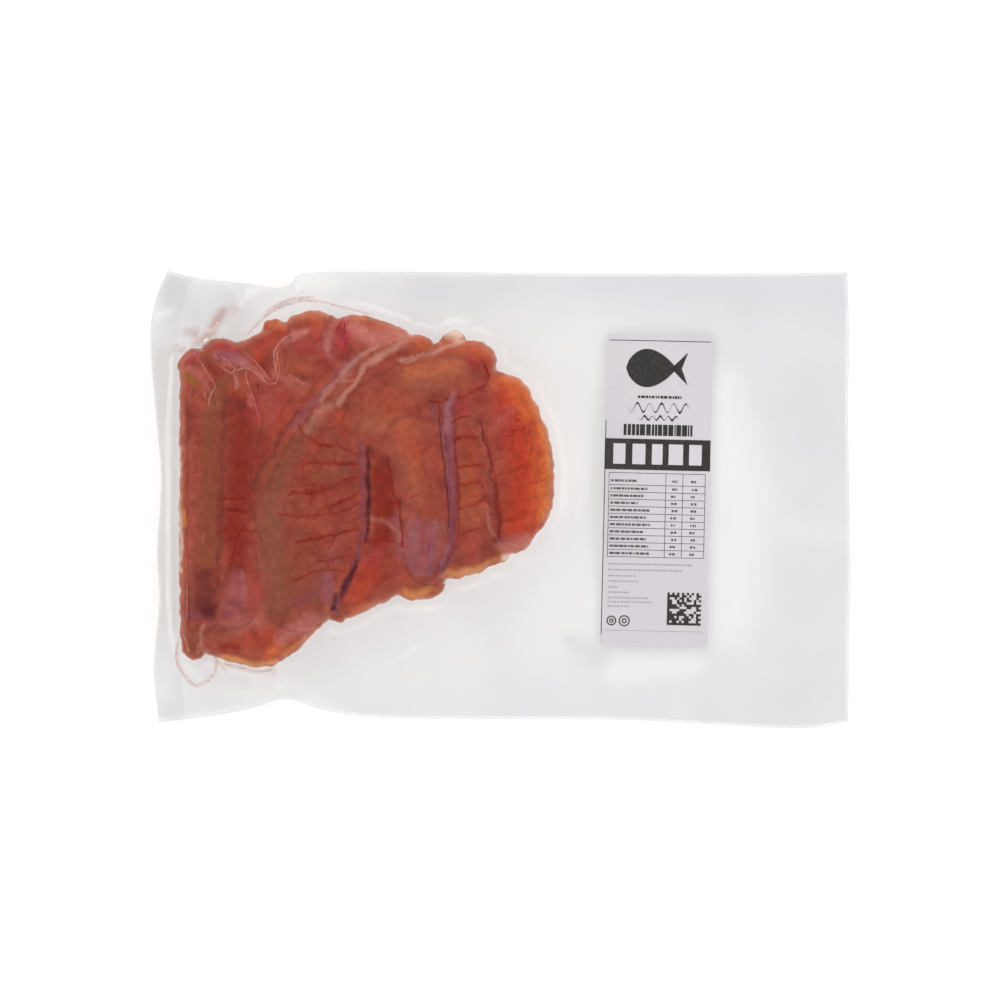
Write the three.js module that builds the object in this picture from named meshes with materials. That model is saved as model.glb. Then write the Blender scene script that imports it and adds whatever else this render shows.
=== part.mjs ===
// A clear vacuum pouch of fish roe, lying flat on its back, with a paper label on its empty half.
// Millimetres, +Z up. X runs along the pouch, from the roe's end to the open flap, and Y across it.
// The origin is on the surface that the pouch lies on, under the middle of its outline.
//
// The pouch is one solid out to its film: a cushion of roe sacs drawn tight under the film, which
// runs out at seam height into a thin skirt and then lies down on the table.
import * as THREE from "three";

// The film. Its skirt is both webs together, with the little air that stays between them.
const SKIRT_THICKNESS = 0.6;
const SEAM_HEIGHT = 7; // where the two webs meet beside the roe, above the table
const SEAM_REACH = 42; // how far from the roe the skirt takes to come down to the table
const FOOT_ROUNDING = 9; // how far in from the roe's side its underside is still off the table
const FILM_OVER_ROE = 0.9; // the film stands this far outside the sacs' own sides
const CHANNEL_HEIGHT = 3.2; // the film bridges the corner at the roe's foot, over a little drip
const CHANNEL_REACH = 7;

// How the sacs are rounded, and how the film bridges the creases between them.
const ROUNDNESS = 2.4;
const BRIDGING = 8;
const SPINE_STEPS = 12;
const TAUTNESS = 0.8; // the film's share of the way from the creases to straight across them
const TAUT_ROUNDS = 34;
const TAUT_FROM = 1.5; // the film is drawn taut from this far inside the roe's side

// Each sac lies along a bent spine, [x, y] points, with its half width at those points and its top.
const SACS = {
  left_edge_sac: {
    spine: [[-129.1, 55.4], [-129.1, 21.3], [-129, -17.4], [-128.6, -52.7]],
    halfWidth: [8.6, 8.7, 9, 9],
    top: 23.5,
  },
  red_left_sac: {
    spine: [[-108.8, 32], [-112.2, 8.4], [-113.1, -17.4], [-110.9, -39.8]],
    halfWidth: [10, 9.5, 9, 10],
    top: 24.5,
  },
  upper_left_fold: {
    spine: [[-120.6, 60.2], [-115.7, 42.8]],
    halfWidth: [9, 9],
    top: 22.5,
  },
  crease_sac: {
    spine: [[-88.2, 43.6], [-95.9, 26.4], [-102.8, 8.4]],
    halfWidth: [12, 10.5, 7],
    top: 25.5,
  },
  crown_left_sac: {
    spine: [[-102.8, 59.6], [-93, 67]],
    halfWidth: [11, 9.2],
    top: 23.5,
  },
  crown_sac: {
    spine: [[-80.5, 64.8], [-73.5, 61.6]],
    halfWidth: [16.2, 15.6],
    top: 26.5,
  },
  crown_right_sac: {
    spine: [[-62.4, 68.6], [-46.5, 65.6]],
    halfWidth: [10.9, 8.9],
    top: 24.5,
  },
  strip_sac: {
    spine: [[-77, 30.7], [-62.8, 48.8], [-45.6, 61.7], [-35, 64.9]],
    halfWidth: [8, 7.5, 7, 5.7],
    top: 28,
  },
  broad_sac: {
    spine: [[-77, 20.4], [-81.7, -0.2], [-85.1, -26], [-87.3, -43.6]],
    halfWidth: [16, 22.5, 20.5, 15],
    top: 31,
  },
  tan_shoulder: {
    spine: [[-55.5, 40.6], [-37, 46.2], [-19.8, 54.8], [-11.4, 58.8]],
    halfWidth: [17, 18, 13.5, 9.3],
    top: 29.5,
  },
  tan_leg: {
    spine: [[-40, 29.9], [-34.8, 8.4], [-31.8, -13.1], [-31.8, -28.6]],
    halfWidth: [12, 11.5, 11, 9],
    top: 29.5,
  },
  small_red_sac: {
    spine: [[-51.6, 10.5], [-49.4, -8.8], [-52, -25], [-60.5, -38.6]],
    halfWidth: [6, 7.5, 9, 8.8],
    top: 26,
  },
  ladder_sac: {
    spine: [[-13.3, 29], [-12.5, 8.4], [-10.8, -11], [-12.5, -22.7]],
    halfWidth: [8, 9, 10, 9.4],
    top: 27.5,
  },
  end_sac: {
    spine: [[2.7, 42.4], [8.2, 21.3], [8.6, -0.2], [4.3, -13.1]],
    halfWidth: [10.5, 13.4, 13.5, 10],
    top: 26.5,
  },
  lower_tip: {
    spine: [[-38.2, -34.6], [-31.2, -35.2]],
    halfWidth: [8.4, 7.3],
    top: 21,
  },
  lower_left_lump: {
    spine: [[-127.3, -45.4], [-116.5, -49.7]],
    halfWidth: [10, 11],
    top: 23,
  },
  bottom_strip: {
    spine: [[-122.6, -58], [-102.2, -61.2], [-88, -51.5]],
    halfWidth: [8.8, 10.5, 9.8],
    top: 22.5,
  },
};

// What fills the space below the creases.
const FILLING = {
  left: { spine: [[-118, 45], [-119, 0], [-116, -46]], halfWidth: [17, 18.5, 17], top: 21.5 },
  crown: { spine: [[-104, 57], [-82, 60], [-52, 60]], halfWidth: [10, 14, 13], top: 23 },
  broad: { spine: [[-84, 48], [-87, 0], [-90, -41.5]], halfWidth: [22, 25, 17.4], top: 26.5 },
  middle: { spine: [[-58, 44], [-55, 4], [-58, -22], [-65, -36]], halfWidth: [21, 19, 15, 9], top: 25.5 },
  leg: { spine: [[-26, 40], [-24, 4], [-26, -17]], halfWidth: [19, 19, 17], top: 25 },
  end: { spine: [[-5, 38], [0, 6], [-4, -8]], halfWidth: [14, 14, 12], top: 23.5 },
  low: { spine: [[-66, -43.4], [-49, -33.4], [-34, -28]], halfWidth: [7.5, 9, 9], top: 21 },
  low_end: { spine: [[-19.5, -25.6], [-10, -22], [-2.8, -21.8]], halfWidth: [8.3, 8.6, 6.2], top: 21 },
  brow: { spine: [[-15, 51], [-2, 48]], halfWidth: [8, 7.1], top: 22.5 },
  fold: { spine: [[-119, 57.5], [-105, 61.6]], halfWidth: [7.6, 8], top: 20 },
  ear: { spine: [[-98.6, 73.4], [-97, 74]], halfWidth: [3.9, 3.5], top: 16 },
  nub: { spine: [[-22.5, 66.4], [-19.4, 68.6]], halfWidth: [4.2, 3.9], top: 17 },
  gap: { spine: [[-46, -12], [-42, -24]], halfWidth: [7, 8], top: 24 },
  tail: { spine: [[-132.6, -56], [-131.6, -63.8]], halfWidth: [5.2, 4.9], top: 15 },
  heel: { spine: [[-101, -66], [-99, -67]], halfWidth: [5, 4.8], top: 15 },
  knob: { spine: [[-71.5, -48], [-69.6, -49]], halfWidth: [3.8, 3.8], top: 15 },
  corner: { spine: [[-133.6, 57.6], [-131, 60.4]], halfWidth: [5, 4.6], top: 16 },
};

// The pouch's outline, side by side. The film is drawn in where it puckers.
const TOP_EDGE = [
  [-143.2, 98.3], [-130.3, 95.2], [-109.6, 92.7], [-95.9, 90.9], [-90.3, 92.7],
  [-82.6, 97.2], [-43.4, 97.8], [42.6, 97], [94.2, 97], [148.8, 97.6],
];
const BOTTOM_EDGE = [
  [-147.1, -95.7], [-131.6, -94], [-108.8, -90.1], [-97.2, -86.2], [-89.4, -85.8],
  [-74, -90.9], [-43.4, -94], [42.6, -94.4], [81.3, -96.1], [128.6, -98.3], [149.2, -95.2],
];
const LEFT_EDGE = [
  [-147.1, -95.7], [-148.8, -78.5], [-148.8, -66.9], [-146.6, -43.2], [-147.5, -21.7],
  [-145.8, 8.4], [-147.9, 34.6], [-150.5, 68.6], [-148.3, 85.8], [-143.2, 98.3],
];
const RIGHT_EDGE = [
  [149.2, -95.2], [149.6, -60.4], [150.1, -26], [149.2, 34.2], [149.6, 68.6], [148.8, 97.6],
];

// Where the skirt stands up in a pucker: its place, its height and its spread.
const PUCKERS = [
  { at: [-94, 92], height: 5, spread: 14 },
  { at: [-93, -88], height: 4.5, spread: 17 },
  { at: [-150, 66], height: 3, spread: 18 },
  { at: [-149, -70], height: 2.5, spread: 16 },
];
const PUCKER_ONSET = 12; // puckers reach their full height this far from the roe

// The loose flap isn't quite flat: two long swells cross it.
const SWELL_HEIGHT = 0.9;
const SWELL_LENGTH = [92, 118];
const SWELL_START = 26; // distance from the roe where the swells begin

// The label lies just above the film, turned a little against the pouch.
const LABEL_WIDTH = 45.6;
const LABEL_LENGTH = 133.6;
const LABEL_THICKNESS = 0.3;
const LABEL_GAP = 0.35;
const LABEL_MIDDLE = [66.9, 3.8];
const LABEL_TILT = THREE.MathUtils.degToRad(-1.3);
const LABEL_CELLS = [6, 18];

// The grid over the pouch: [share of the side, share of the cells] where its spacing changes.
// The cells are small over the roe and long on the flap. The underside's are twice as long.
const COLUMNS = 76;
const ROWS = 52;
const COLUMN_SPACING = [[0, 0], [0.6, 0.74], [1, 1]];
const ROW_SPACING = [[0, 0], [0.11, 0.08], [0.93, 0.94], [1, 1]];
const FOOT_CATCH = 1.3; // vertices this near to the roe's side are moved onto it
const EVENING_ROUNDS = 4; // the vertices between then take the middle of their neighbours

const smooth = (value, from, to) => THREE.MathUtils.smoothstep(value, from, to);
const curveThrough = (points) => new THREE.SplineCurve(points.map(([x, y]) => new THREE.Vector2(x, y)));

// A sac's spine as short straight steps, each with its half width.
function withSteps({ spine, halfWidth, top }) {
  const curve = curveThrough(spine);
  const widths = curveThrough(halfWidth.map((width, i) => [i, width]));
  const steps = Array.from({ length: SPINE_STEPS + 1 }, (_, i) => ({
    point: curve.getPoint(i / SPINE_STEPS),
    radius: widths.getPoint(i / SPINE_STEPS).y + FILM_OVER_ROE,
  }));
  return { top, steps };
}
const sacs = [...Object.values(SACS), ...Object.values(FILLING)].map(withSteps);

// Where a place is by a sac: how far outside its side (below 0 within it), which way that side
// faces, and its share of the way out from the spine.
function placeBy(steps, place) {
  let nearest = { outside: Infinity };
  let share = Infinity;
  for (let i = 1; i < steps.length; i++) {
    const from = steps[i - 1];
    const along = steps[i].point.clone().sub(from.point);
    const t = THREE.MathUtils.clamp(place.clone().sub(from.point).dot(along) / along.lengthSq(), 0, 1);
    const radius = THREE.MathUtils.lerp(from.radius, steps[i].radius, t);
    const offset = place.clone().sub(along.multiplyScalar(t).add(from.point));
    const distance = offset.length();
    const outside = distance - radius;
    if (outside < nearest.outside) nearest = { outside, facing: offset.normalize() };
    share = Math.min(share, distance / radius);
  }
  return { ...nearest, share };
}

// The sac whose side is nearest to a place, or that holds it deepest.
const nearestOf = (near) => near.reduce((best, sac) => (sac.outside < best.outside ? sac : best));

// The height of the skirt's underside at a place that is this far outside the roe.
function skirtHeight(x, y, outside) {
  const fall = 1 - smooth(outside, 0, SEAM_REACH);
  const puckered = PUCKERS.reduce((sum, { at, height, spread }) => {
    const away = Math.hypot(x - at[0], y - at[1]) / spread;
    return sum + height * Math.exp(-away * away);
  }, 0);
  const turns = (value, length) => (2 * Math.PI * value) / length;
  const swell = 1 + Math.sin(turns(x, SWELL_LENGTH[0])) * Math.cos(turns(y, SWELL_LENGTH[1]));
  const pucker = puckered * smooth(outside, 0, PUCKER_ONSET);
  return SEAM_HEIGHT * fall + pucker + SWELL_HEIGHT * swell * smooth(outside, SWELL_START, SEAM_REACH);
}

// The film's lower and upper surface over one place, and how far outside the roe it is.
function surfacesAt(x, y) {
  const place = new THREE.Vector2(x, y);
  const near = sacs.map((sac) => ({ top: sac.top, ...placeBy(sac.steps, place) }));
  const { outside } = nearestOf(near);
  const seam = skirtHeight(x, y, Math.max(outside, 0));
  const channel = CHANNEL_HEIGHT * (1 - THREE.MathUtils.clamp(outside / CHANNEL_REACH, 0, 1)) ** 2;
  const rise = near.reduce((sum, { top, share }) => {
    const dome = (1 - Math.min(share, 1) ** ROUNDNESS) ** (1 / ROUNDNESS);
    return sum + ((top - SEAM_HEIGHT) * dome) ** BRIDGING;
  }, channel ** BRIDGING) ** (1 / BRIDGING);
  const inwards = 1 - THREE.MathUtils.clamp(-outside / FOOT_ROUNDING, 0, 1);
  const lower = outside > 0 ? seam : SEAM_HEIGHT * (1 - Math.sqrt(1 - inwards * inwards));
  return { lower, upper: seam + SKIRT_THICKNESS + rise, outside };
}

// The share of a side that the given share of its cells reaches.
function spaced(spacing, cells) {
  const i = Math.max(spacing.findIndex(([, share]) => share >= cells), 1);
  const [[side0, cells0], [side1, cells1]] = [spacing[i - 1], spacing[i]];
  return THREE.MathUtils.mapLinear(cells, cells0, cells1, side0, side1);
}

// A place inside the outline, from shares along and across it.
const topEdge = curveThrough(TOP_EDGE);
const bottomEdge = curveThrough(BOTTOM_EDGE);
const leftEdge = curveThrough(LEFT_EDGE);
const rightEdge = curveThrough(RIGHT_EDGE);
function placeInside(along, across) {
  const blend = (a, b, t) => a.clone().lerp(b, t);
  const upDown = blend(bottomEdge.getPointAt(along), topEdge.getPointAt(along), across);
  const sideways = blend(leftEdge.getPointAt(across), rightEdge.getPointAt(across), along);
  const corners = blend(
    blend(bottomEdge.getPoint(0), bottomEdge.getPoint(1), along),
    blend(topEdge.getPoint(0), topEdge.getPoint(1), along),
    across,
  );
  return upDown.add(sideways).sub(corners);
}

// The grid's places. Those close to the roe's side are moved onto it, so that the roe's foot is one
// clean line, and the others are evened out between it and the outline.
function gridPlaces() {
  const grid = Array.from({ length: ROWS + 1 }, (_, j) =>
    Array.from({ length: COLUMNS + 1 }, (_, i) => {
      const place = placeInside(spaced(COLUMN_SPACING, i / COLUMNS), spaced(ROW_SPACING, j / ROWS));
      const { outside, facing } = nearestOf(sacs.map((sac) => placeBy(sac.steps, place)));
      const atFoot = Math.abs(outside) < FOOT_CATCH;
      if (atFoot) place.addScaledVector(facing, -outside);
      return { place, fixed: atFoot || i % COLUMNS === 0 || j % ROWS === 0 };
    }),
  );
  for (let round = 0; round < EVENING_ROUNDS; round++)
    for (let j = 1; j < ROWS; j++)
      for (let i = 1; i < COLUMNS; i++) {
        if (grid[j][i].fixed) continue;
        const neighbours = [grid[j][i - 1], grid[j][i + 1], grid[j - 1][i], grid[j + 1][i]];
        const middle = neighbours.reduce((sum, { place }) => sum.add(place), new THREE.Vector2());
        grid[j][i].place.lerp(middle.divideScalar(neighbours.length), 0.5);
      }
  return grid.map((row) => row.map(({ place }) => place));
}

// The film's surfaces over the grid. Over the roe it is taut: a crease between two sacs is bridged.
function gridSurfaces(places) {
  const grid = places.map((row) => row.map(({ x, y }) => surfacesAt(x, y)));
  for (const cell of grid.flat()) cell.taut = cell.upper;
  for (let round = 0; round < TAUT_ROUNDS; round++)
    for (let j = 1; j < ROWS; j++)
      for (let i = 1; i < COLUMNS; i++) {
        const cell = grid[j][i];
        if (cell.outside > -TAUT_FROM) continue;
        const neighbours = [grid[j][i - 1], grid[j][i + 1], grid[j - 1][i], grid[j + 1][i]];
        const middle = neighbours.reduce((sum, { taut }) => sum + taut, 0) / neighbours.length;
        cell.taut = Math.max(cell.upper, middle);
      }
  for (const cell of grid.flat()) cell.upper = THREE.MathUtils.lerp(cell.upper, cell.taut, TAUTNESS);
  return grid;
}

// The pouch: a fine upper grid, a lower grid of every second line, and a rim that joins them.
function pouchGeometry() {
  const places = gridPlaces();
  const surfaces = gridSurfaces(places);
  const positions = [];
  const index = [];
  const layer = (step, side, order) => {
    const ids = [];
    for (let j = 0; j <= ROWS; j += step) {
      ids.push([]);
      for (let i = 0; i <= COLUMNS; i += step) {
        const { x, y } = places[j][i];
        ids.at(-1).push(positions.length / 3);
        positions.push(x, y, surfaces[j][i][side]);
      }
    }
    for (let j = 1; j < ids.length; j++)
      for (let i = 1; i < ids[j].length; i++) {
        const [a, b, c, d] = [ids[j - 1][i - 1], ids[j - 1][i], ids[j][i], ids[j][i - 1]];
        index.push(...order([a, b, c]), ...order([a, c, d]));
      }
    return ids;
  };
  // The grid's outer vertices in order, anticlockwise as seen from above.
  const ring = (ids) => [
    ...ids[0].slice(0, -1),
    ...ids.slice(0, -1).map((row) => row.at(-1)),
    ...ids.at(-1).slice(1).reverse(),
    ...ids.slice(1).reverse().map((row) => row[0]),
  ];
  const upper = ring(layer(1, "upper", (corners) => corners));
  const lower = ring(layer(2, "lower", (corners) => corners.reverse()));
  lower.forEach((low, k) => {
    const nextLow = lower[(k + 1) % lower.length];
    const [a, b, c] = [upper[2 * k], upper[2 * k + 1], upper[(2 * k + 2) % upper.length]];
    index.push(low, nextLow, c, low, c, b, low, b, a);
  });
  return new THREE.BufferGeometry()
    .setAttribute("position", new THREE.Float32BufferAttribute(positions, 3))
    .setIndex(index);
}

// The label: a thin plate that follows the film below it.
function labelGeometry() {
  const geometry = new THREE.BoxGeometry(LABEL_WIDTH, LABEL_LENGTH, LABEL_THICKNESS, ...LABEL_CELLS, 1);
  const position = geometry.getAttribute("position");
  const middle = new THREE.Vector2(...LABEL_MIDDLE);
  for (let i = 0; i < position.count; i++) {
    const place = new THREE.Vector2(position.getX(i), position.getY(i));
    place.rotateAround(new THREE.Vector2(), LABEL_TILT).add(middle);
    const above = LABEL_GAP + (position.getZ(i) > 0 ? LABEL_THICKNESS : 0);
    position.setZ(i, surfacesAt(place.x, place.y).upper + above);
  }
  return geometry;
}

function named(name, geometry, material) {
  geometry.computeVertexNormals();
  const mesh = new THREE.Mesh(geometry, new THREE.MeshStandardMaterial(material));
  mesh.name = name;
  return mesh;
}

const pouch = named("pouch", pouchGeometry(), { color: "#b5523a", roughness: 0.25, metalness: 0 });
const label = named("label", labelGeometry(), { color: "#dcd8dd", roughness: 0.6, metalness: 0 });
label.position.set(...LABEL_MIDDLE, 0);
label.rotation.z = LABEL_TILT;

const pack = new THREE.Group().add(pouch, label);

// The outline's middle goes over the origin, and the lowest point onto the table.
const bounds = new THREE.Box3().setFromObject(pouch);
const middle = bounds.getCenter(new THREE.Vector3());
pack.position.set(-middle.x, -middle.y, -bounds.min.z);

export default pack;
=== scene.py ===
"""Looks for a clear vacuum pouch of fish roe with a paper label, built over the packed frame.

The pouch lies on its back. Under its film are the roe's sacs with their veins, tissue and drip.
Tables are in millimetres in the frame's own axes: X along the pouch, Y across it, Z up.
"""

import math
import random

import bmesh
import bpy
import numpy as np
from bpy.props import FloatProperty, FloatVectorProperty, IntProperty, PointerProperty
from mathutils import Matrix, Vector, noise
from mathutils.bvhtree import BVHTree


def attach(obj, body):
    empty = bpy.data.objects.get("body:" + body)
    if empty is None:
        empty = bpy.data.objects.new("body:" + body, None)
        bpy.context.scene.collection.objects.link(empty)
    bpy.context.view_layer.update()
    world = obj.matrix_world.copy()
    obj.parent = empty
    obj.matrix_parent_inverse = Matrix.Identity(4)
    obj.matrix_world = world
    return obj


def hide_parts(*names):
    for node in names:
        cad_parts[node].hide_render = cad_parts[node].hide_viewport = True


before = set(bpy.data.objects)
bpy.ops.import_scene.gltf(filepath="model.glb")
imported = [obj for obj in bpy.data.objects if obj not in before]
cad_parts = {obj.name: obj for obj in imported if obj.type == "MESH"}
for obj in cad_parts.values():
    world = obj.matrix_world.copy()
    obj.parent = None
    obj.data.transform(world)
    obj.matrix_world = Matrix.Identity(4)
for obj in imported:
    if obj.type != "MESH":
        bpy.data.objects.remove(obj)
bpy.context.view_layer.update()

bl_info = {
    "name": "Vacuum pouch of fish roe",
    "version": (1, 0, 0),
    "blender": (4, 5, 0),
    "location": "View3D > Sidebar > Pouch",
    "description": "Builds the film, the roe, its veins and the label's print over the packed pouch",
    "category": "Object",
}

MM = 0.001

# The pouch's form, the same as the frame's solids
SKIRT_THICKNESS = 0.6
SEAM_HEIGHT = 7.0
SEAM_REACH = 42.0
FOOT_ROUNDING = 9.0
FILM_OVER_ROE = 0.9
CHANNEL_HEIGHT = 3.2
CHANNEL_REACH = 7.0
ROUNDNESS = 2.4
BRIDGING = 8
SPINE_STEPS = 12
TAUTNESS = 0.8
TAUT_ROUNDS = 113
TAUT_FROM = 1.5
FRAME_SHIFT = (0.195, -0.001)  # from the tables' axes to the frame's origin

# Each sac: its spine's points, its half width at those points, and its top
SACS = {
    "left_edge_sac": (
        [(-129.1, 55.4), (-129.1, 21.3), (-129, -17.4), (-128.6, -52.7)], [8.6, 8.7, 9, 9], 23.5,
    ),
    "red_left_sac": (
        [(-108.8, 32), (-112.2, 8.4), (-113.1, -17.4), (-110.9, -39.8)], [10, 9.5, 9, 10], 24.5,
    ),
    "upper_left_fold": ([(-120.6, 60.2), (-115.7, 42.8)], [9, 9], 22.5),
    "crease_sac": ([(-88.2, 43.6), (-95.9, 26.4), (-102.8, 8.4)], [12, 10.5, 7], 25.5),
    "crown_left_sac": ([(-102.8, 59.6), (-93, 67)], [11, 9.2], 23.5),
    "crown_sac": ([(-80.5, 64.8), (-73.5, 61.6)], [16.2, 15.6], 26.5),
    "crown_right_sac": ([(-62.4, 68.6), (-46.5, 65.6)], [10.9, 8.9], 24.5),
    "strip_sac": ([(-77, 30.7), (-62.8, 48.8), (-45.6, 61.7), (-35, 64.9)], [8, 7.5, 7, 5.7], 28),
    "broad_sac": ([(-77, 20.4), (-81.7, -0.2), (-85.1, -26), (-87.3, -43.6)], [16, 22.5, 20.5, 15], 31),
    "tan_shoulder": ([(-55.5, 40.6), (-37, 46.2), (-19.8, 54.8), (-11.4, 58.8)], [17, 18, 13.5, 9.3], 29.5),
    "tan_leg": ([(-40, 29.9), (-34.8, 8.4), (-31.8, -13.1), (-31.8, -28.6)], [12, 11.5, 11, 9], 29.5),
    "small_red_sac": ([(-51.6, 10.5), (-49.4, -8.8), (-52, -25), (-60.5, -38.6)], [6, 7.5, 9, 8.8], 26),
    "ladder_sac": ([(-13.3, 29), (-12.5, 8.4), (-10.8, -11), (-12.5, -22.7)], [8, 9, 10, 9.4], 27.5),
    "end_sac": ([(2.7, 42.4), (8.2, 21.3), (8.6, -0.2), (4.3, -13.1)], [10.5, 13.4, 13.5, 10], 26.5),
    "lower_tip": ([(-38.2, -34.6), (-31.2, -35.2)], [8.4, 7.3], 21),
    "lower_left_lump": ([(-127.3, -45.4), (-116.5, -49.7)], [10, 11], 23),
    "bottom_strip": ([(-122.6, -58), (-102.2, -61.2), (-88, -51.5)], [8.8, 10.5, 9.8], 22.5),
}

# The packed roe below the creases, which closes the gaps between the sacs
FILLING = {
    "left": ([(-118, 45), (-119, 0), (-116, -46)], [17, 18.5, 17], 21.5),
    "crown": ([(-104, 57), (-82, 60), (-52, 60)], [10, 14, 13], 23),
    "broad": ([(-84, 48), (-87, 0), (-90, -41.5)], [22, 25, 17.4], 26.5),
    "middle": ([(-58, 44), (-55, 4), (-58, -22), (-65, -36)], [21, 19, 15, 9], 25.5),
    "leg": ([(-26, 40), (-24, 4), (-26, -17)], [19, 19, 17], 25),
    "end": ([(-5, 38), (0, 6), (-4, -8)], [14, 14, 12], 23.5),
    "low": ([(-66, -43.4), (-49, -33.4), (-34, -28)], [7.5, 9, 9], 21),
    "low_end": ([(-19.5, -25.6), (-10, -22), (-2.8, -21.8)], [8.3, 8.6, 6.2], 21),
    "brow": ([(-15, 51), (-2, 48)], [8, 7.1], 22.5),
    "fold": ([(-119, 57.5), (-105, 61.6)], [7.6, 8], 20),
    "ear": ([(-98.6, 73.4), (-97, 74)], [3.9, 3.5], 16),
    "nub": ([(-22.5, 66.4), (-19.4, 68.6)], [4.2, 3.9], 17),
    "gap": ([(-46, -12), (-42, -24)], [7, 8], 24),
    "tail": ([(-132.6, -56), (-131.6, -63.8)], [5.2, 4.9], 15),
    "notch": ([(-107, -50), (-99.6, -54)], [7, 7], 21),
    "heel": ([(-101, -66), (-99, -67)], [5, 4.8], 15),
    "knob": ([(-71.5, -48), (-69.6, -49)], [3.8, 3.8], 15),
    "corner": ([(-133.6, 57.6), (-131, 60.4)], [5, 4.6], 16),
}

TOP_EDGE = [
    (-143.2, 98.3), (-130.3, 95.2), (-109.6, 92.7), (-95.9, 90.9), (-90.3, 92.7),
    (-82.6, 97.2), (-43.4, 97.8), (42.6, 97), (94.2, 97), (148.8, 97.6),
]
BOTTOM_EDGE = [
    (-147.1, -95.7), (-131.6, -94), (-108.8, -90.1), (-97.2, -86.2), (-89.4, -85.8),
    (-74, -90.9), (-43.4, -94), (42.6, -94.4), (81.3, -96.1), (128.6, -98.3), (149.2, -95.2),
]
LEFT_EDGE = [
    (-147.1, -95.7), (-148.8, -78.5), (-148.8, -66.9), (-146.6, -43.2), (-147.5, -21.7),
    (-145.8, 8.4), (-147.9, 34.6), (-150.5, 68.6), (-148.3, 85.8), (-143.2, 98.3),
]
RIGHT_EDGE = [
    (149.2, -95.2), (149.6, -60.4), (150.1, -26), (149.2, 34.2), (149.6, 68.6), (148.8, 97.6),
]

# Puckers of the skirt: place, height and spread
PUCKERS = [((-94, 92), 5, 14), ((-93, -88), 4.5, 17), ((-150, 66), 3, 18), ((-149, -70), 2.5, 16)]
PUCKER_ONSET = 12.0
SWELL_HEIGHT = 0.9
SWELL_LENGTH = (92.0, 118.0)
SWELL_START = 26.0

LABEL_SIZE = (45.6, 133.6)
LABEL_MIDDLE = (66.9, 3.8)
LABEL_TILT = math.radians(-1.3)

# The film's own grid: cells along and across, and the share of each side that they take
FILM_CELLS = (262, 164)
COLUMN_SPACING = ([0, 0.6, 1], [0, 0.76, 1])
ROW_SPACING = ([0, 0.11, 0.93, 1], [0, 0.07, 0.95, 1])

# Creases of the film: height, half width and the points they run through
FILM_CREASES = [
    (0.9, 2.2, [(-88.2, 92.7), (-92.9, 85.8), (-98.5, 80.6), (-102.8, 76.3)]),
    (1.2, 1.8, [(-92.9, -86.2), (-97.2, -80.2), (-102.8, -72.5)]),
    (1.0, 1.6, [(-114.4, -88.4), (-116.5, -81.9), (-118.7, -69)]),
    (0.3, 2.4, [(-102.8, 89.2), (-110.5, 81.5), (-117.4, 72.9)]),
    (0.8, 1.6, [(-130, 62), (-126, 54.8), (-122.1, 48.5), (-123.4, 42)]),
    (0.9, 1.8, [(-98.5, 50.5), (-103.6, 53), (-109.6, 57), (-117, 60)]),
    (0.6, 1.5, [(-96, 66), (-97.4, 59), (-96.3, 50)]),
    (0.6, 1.5, [(-109.6, 55), (-107.4, 46), (-104, 36)]),
    (0.5, 2.6, [(25.4, 85.8), (42.6, 80.6), (59.8, 85.8)]),
    (0.6, 3.0, [(38.3, -66.9), (43.4, -72.5), (52, -75.9)]),
    (0.5, 3.4, [(59.8, -86.2), (85.6, -81.9), (111.4, -87.9)]),
    (0.5, 3.0, [(111.4, -26), (128.6, -20.9), (148.3, -22.6)]),
    (0.5, 3.0, [(16.8, -51.8), (23.6, -60.4), (27.9, -72.5)]),
    (0.5, 2.4, [(-73.5, -81.9), (-52, -70.7), (-34.8, -60.4)]),
    (0.4, 2.4, [(25.4, 60), (36.5, 54.8), (42.6, 46.2)]),
]
RING_MIDDLE = (85.6, -2.4)
RING_RADIUS = 25.8
RING_WIDTH = 0.9
RING_HEIGHT = 0.35
SEAL_WIDTH = 12.5  # the heat-sealed band along the roe's end

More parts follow.
